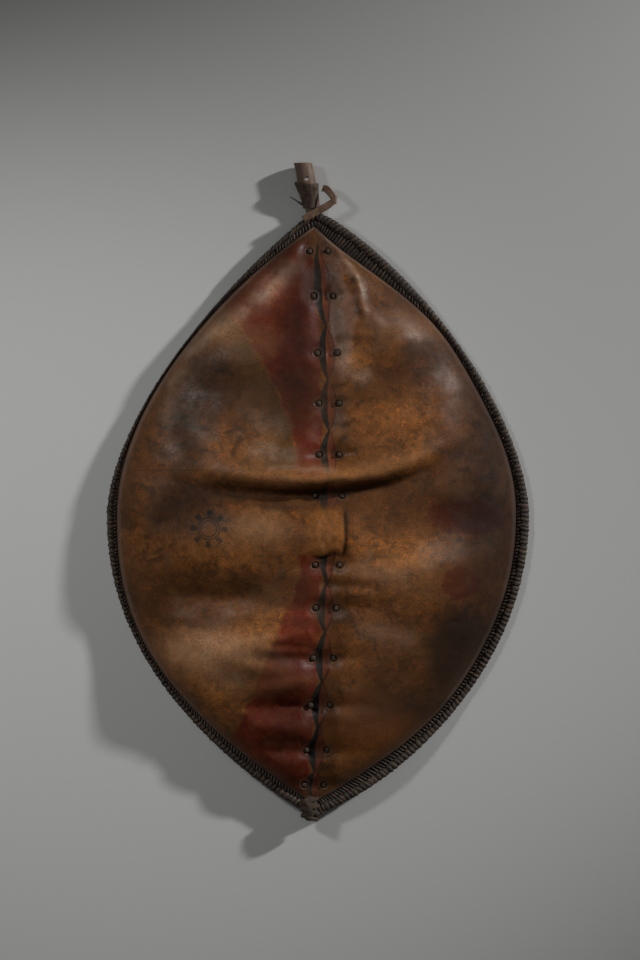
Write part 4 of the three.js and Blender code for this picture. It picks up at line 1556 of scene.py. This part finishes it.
def make_tail_knot():
    """Turns of thong wound over the lower tip, and two short cut ends."""
    tubes = []
    random = np.random.default_rng(77)
    for turn_index in range(6):
        y = -431 - 5.0 * turn_index
        lean = 0.25 * (-1) ** turn_index + random.uniform(-0.1, 0.1)
        size = 13.5 - 0.9 * abs(turn_index - 2.2)
        angle = np.linspace(-0.35, np.pi + 0.35, 40)
        x = -12.2 + size * np.cos(angle)
        z = 27.5 + 11.5 * np.sin(angle) - 0.35 * abs(turn_index - 2)
        path = np.stack([x, y + lean * (x + 12), z], -1)
        tubes.append(tube_rings(path, (0, 1, 0), 3.0, 2.2, 14, 2.3))
    over = smooth_path((
        (-19, -428, 36.5), (-14, -436, 40.2), (-12, -446, 40.4),
        (-12, -456, 36), (-12, -459.3, 27), (-11.5, -458.5, 17),
    ), 50)
    tubes.append(tube_rings(over, (1, 0, 0), 4.2, 1.9, 14, 2.4))
    first = smooth_path(((-6, -440, 37), (-3, -449, 36), (-2, -456, 31), (-1.5, -460, 25)), 30)
    tubes.append(tube_rings(first, (1, 0, 0), np.linspace(2.4, 1.5, 30), 1.2, 12, 2.4))
    second = smooth_path(((-1, -438, 32), (4, -446, 31), (8, -452, 27)), 24)
    tubes.append(tube_rings(second, (1, 0.3, 0), np.linspace(2.2, 1.3, 24), 1.1, 12, 2.4))
    lump_y = np.linspace(-427, -458, 24)
    lump = np.stack([-12 + 0 * lump_y, lump_y, 28 + 0 * lump_y], -1)
    swell_size = np.sin(np.linspace(0.35, np.pi - 0.35, 24)) ** 0.5
    tubes.append(tube_rings(lump, (1, 0, 0), 12.5 * swell_size, 9.5 * swell_size, 20, 2.2))
    return make_tubes("tip_knot", tubes, ["tail_knot"], lace_finish)


make_hide()
make_rim_rod()
make_rim_lacing()
make_inner_row()
drill_cord_hole(make_stave())
make_lashings()
make_sleeve()
make_strap()
make_thong_tail()
make_tail_knot()

# ---------- floor, camera and lights ----------


def make_floor():
    """A plain pale floor at the height that the rim lies on."""
    mesh = bpy.data.meshes.new("floor")
    reach = 9.0
    corners = [(-reach, -reach, 0), (reach, -reach, 0), (reach, reach, 0), (-reach, reach, 0)]
    mesh.from_pydata(corners, [], [(0, 1, 2, 3)])
    material, _, shader = start_material("pale_floor", (0.6, 0.6, 0.6))
    shader.inputs["Base Color"].default_value = (0.6, 0.6, 0.595, 1)
    shader.inputs["Roughness"].default_value = 0.9
    shader.inputs["Specular IOR Level"].default_value = 0.2
    mesh.materials.append(material)
    floor = bpy.data.objects.new("floor", mesh)
    bpy.context.scene.collection.objects.link(floor)


def make_camera():
    """Straight above the shield, far off, framing it with its upper end up."""
    low, high = cad_box
    aim = Vector(((low.x + high.x) / 2 + 0.003, (low.y + high.y) / 2 + 0.018, 0.0))
    data = bpy.data.cameras.new("camera")
    data.sensor_width = 36
    data.lens = 160
    data.clip_end = 40
    camera = bpy.data.objects.new("camera", data)
    camera.location = aim + Vector((0, 0, 6.42))
    bpy.context.scene.collection.objects.link(camera)
    bpy.context.scene.camera = camera


def make_light(name, kind, place_at, aim, watts, colour, **settings):
    """A lamp at one place, pointed at another, with its kind's own settings."""
    data = bpy.data.lights.new(name, kind)
    data.energy = watts
    data.color = colour
    for key, value in settings.items():
        setattr(data, key, value)
    light = bpy.data.objects.new(name, data)
    light.location = place_at
    light.rotation_mode = "QUATERNION"
    light.rotation_quaternion = (Vector(aim) - Vector(place_at)).to_track_quat("-Z", "Y")
    bpy.context.scene.collection.objects.link(light)


def make_spot(name, place_at, aim, radius, beam, watts, colour):
    """A round lamp with a wide soft-edged beam, its angle in degrees."""
    make_light(
        name, "SPOT", place_at, aim, watts, colour,
        shadow_soft_size=radius, spot_size=np.radians(beam), spot_blend=1.0,
    )


def make_lights():
    """A far crisp key, low on the upper right, a softer lamp on the upper left whose beam
    falls on the left side, and a little light from overhead."""
    bpy.context.scene.view_settings.view_transform = "Standard"
    make_spot("key", (4.78, 2.74, 2.08), (0.3, 0.1, 0), 0.16, 22, 1080, (1, 0.995, 0.98))
    make_spot("left_lamp", (-1.6, 0.95, 1.7), (-0.42, -0.14, 0), 0.2, 47, 76, (0.99, 1, 0.98))
    make_light(
        "overhead", "AREA", (0, 0, 4.5), (0, 0, 0), 12, (1, 1, 1),
        shape="RECTANGLE", size=3.0, size_y=3.0,
    )
    world = bpy.data.worlds.new("room")
    world.use_nodes = True
    background = world.node_tree.nodes["Background"].inputs
    background["Color"].default_value = (1, 1, 1, 1)
    background["Strength"].default_value = 0.01
    bpy.context.scene.world = world


make_floor()
make_camera()
make_lights()
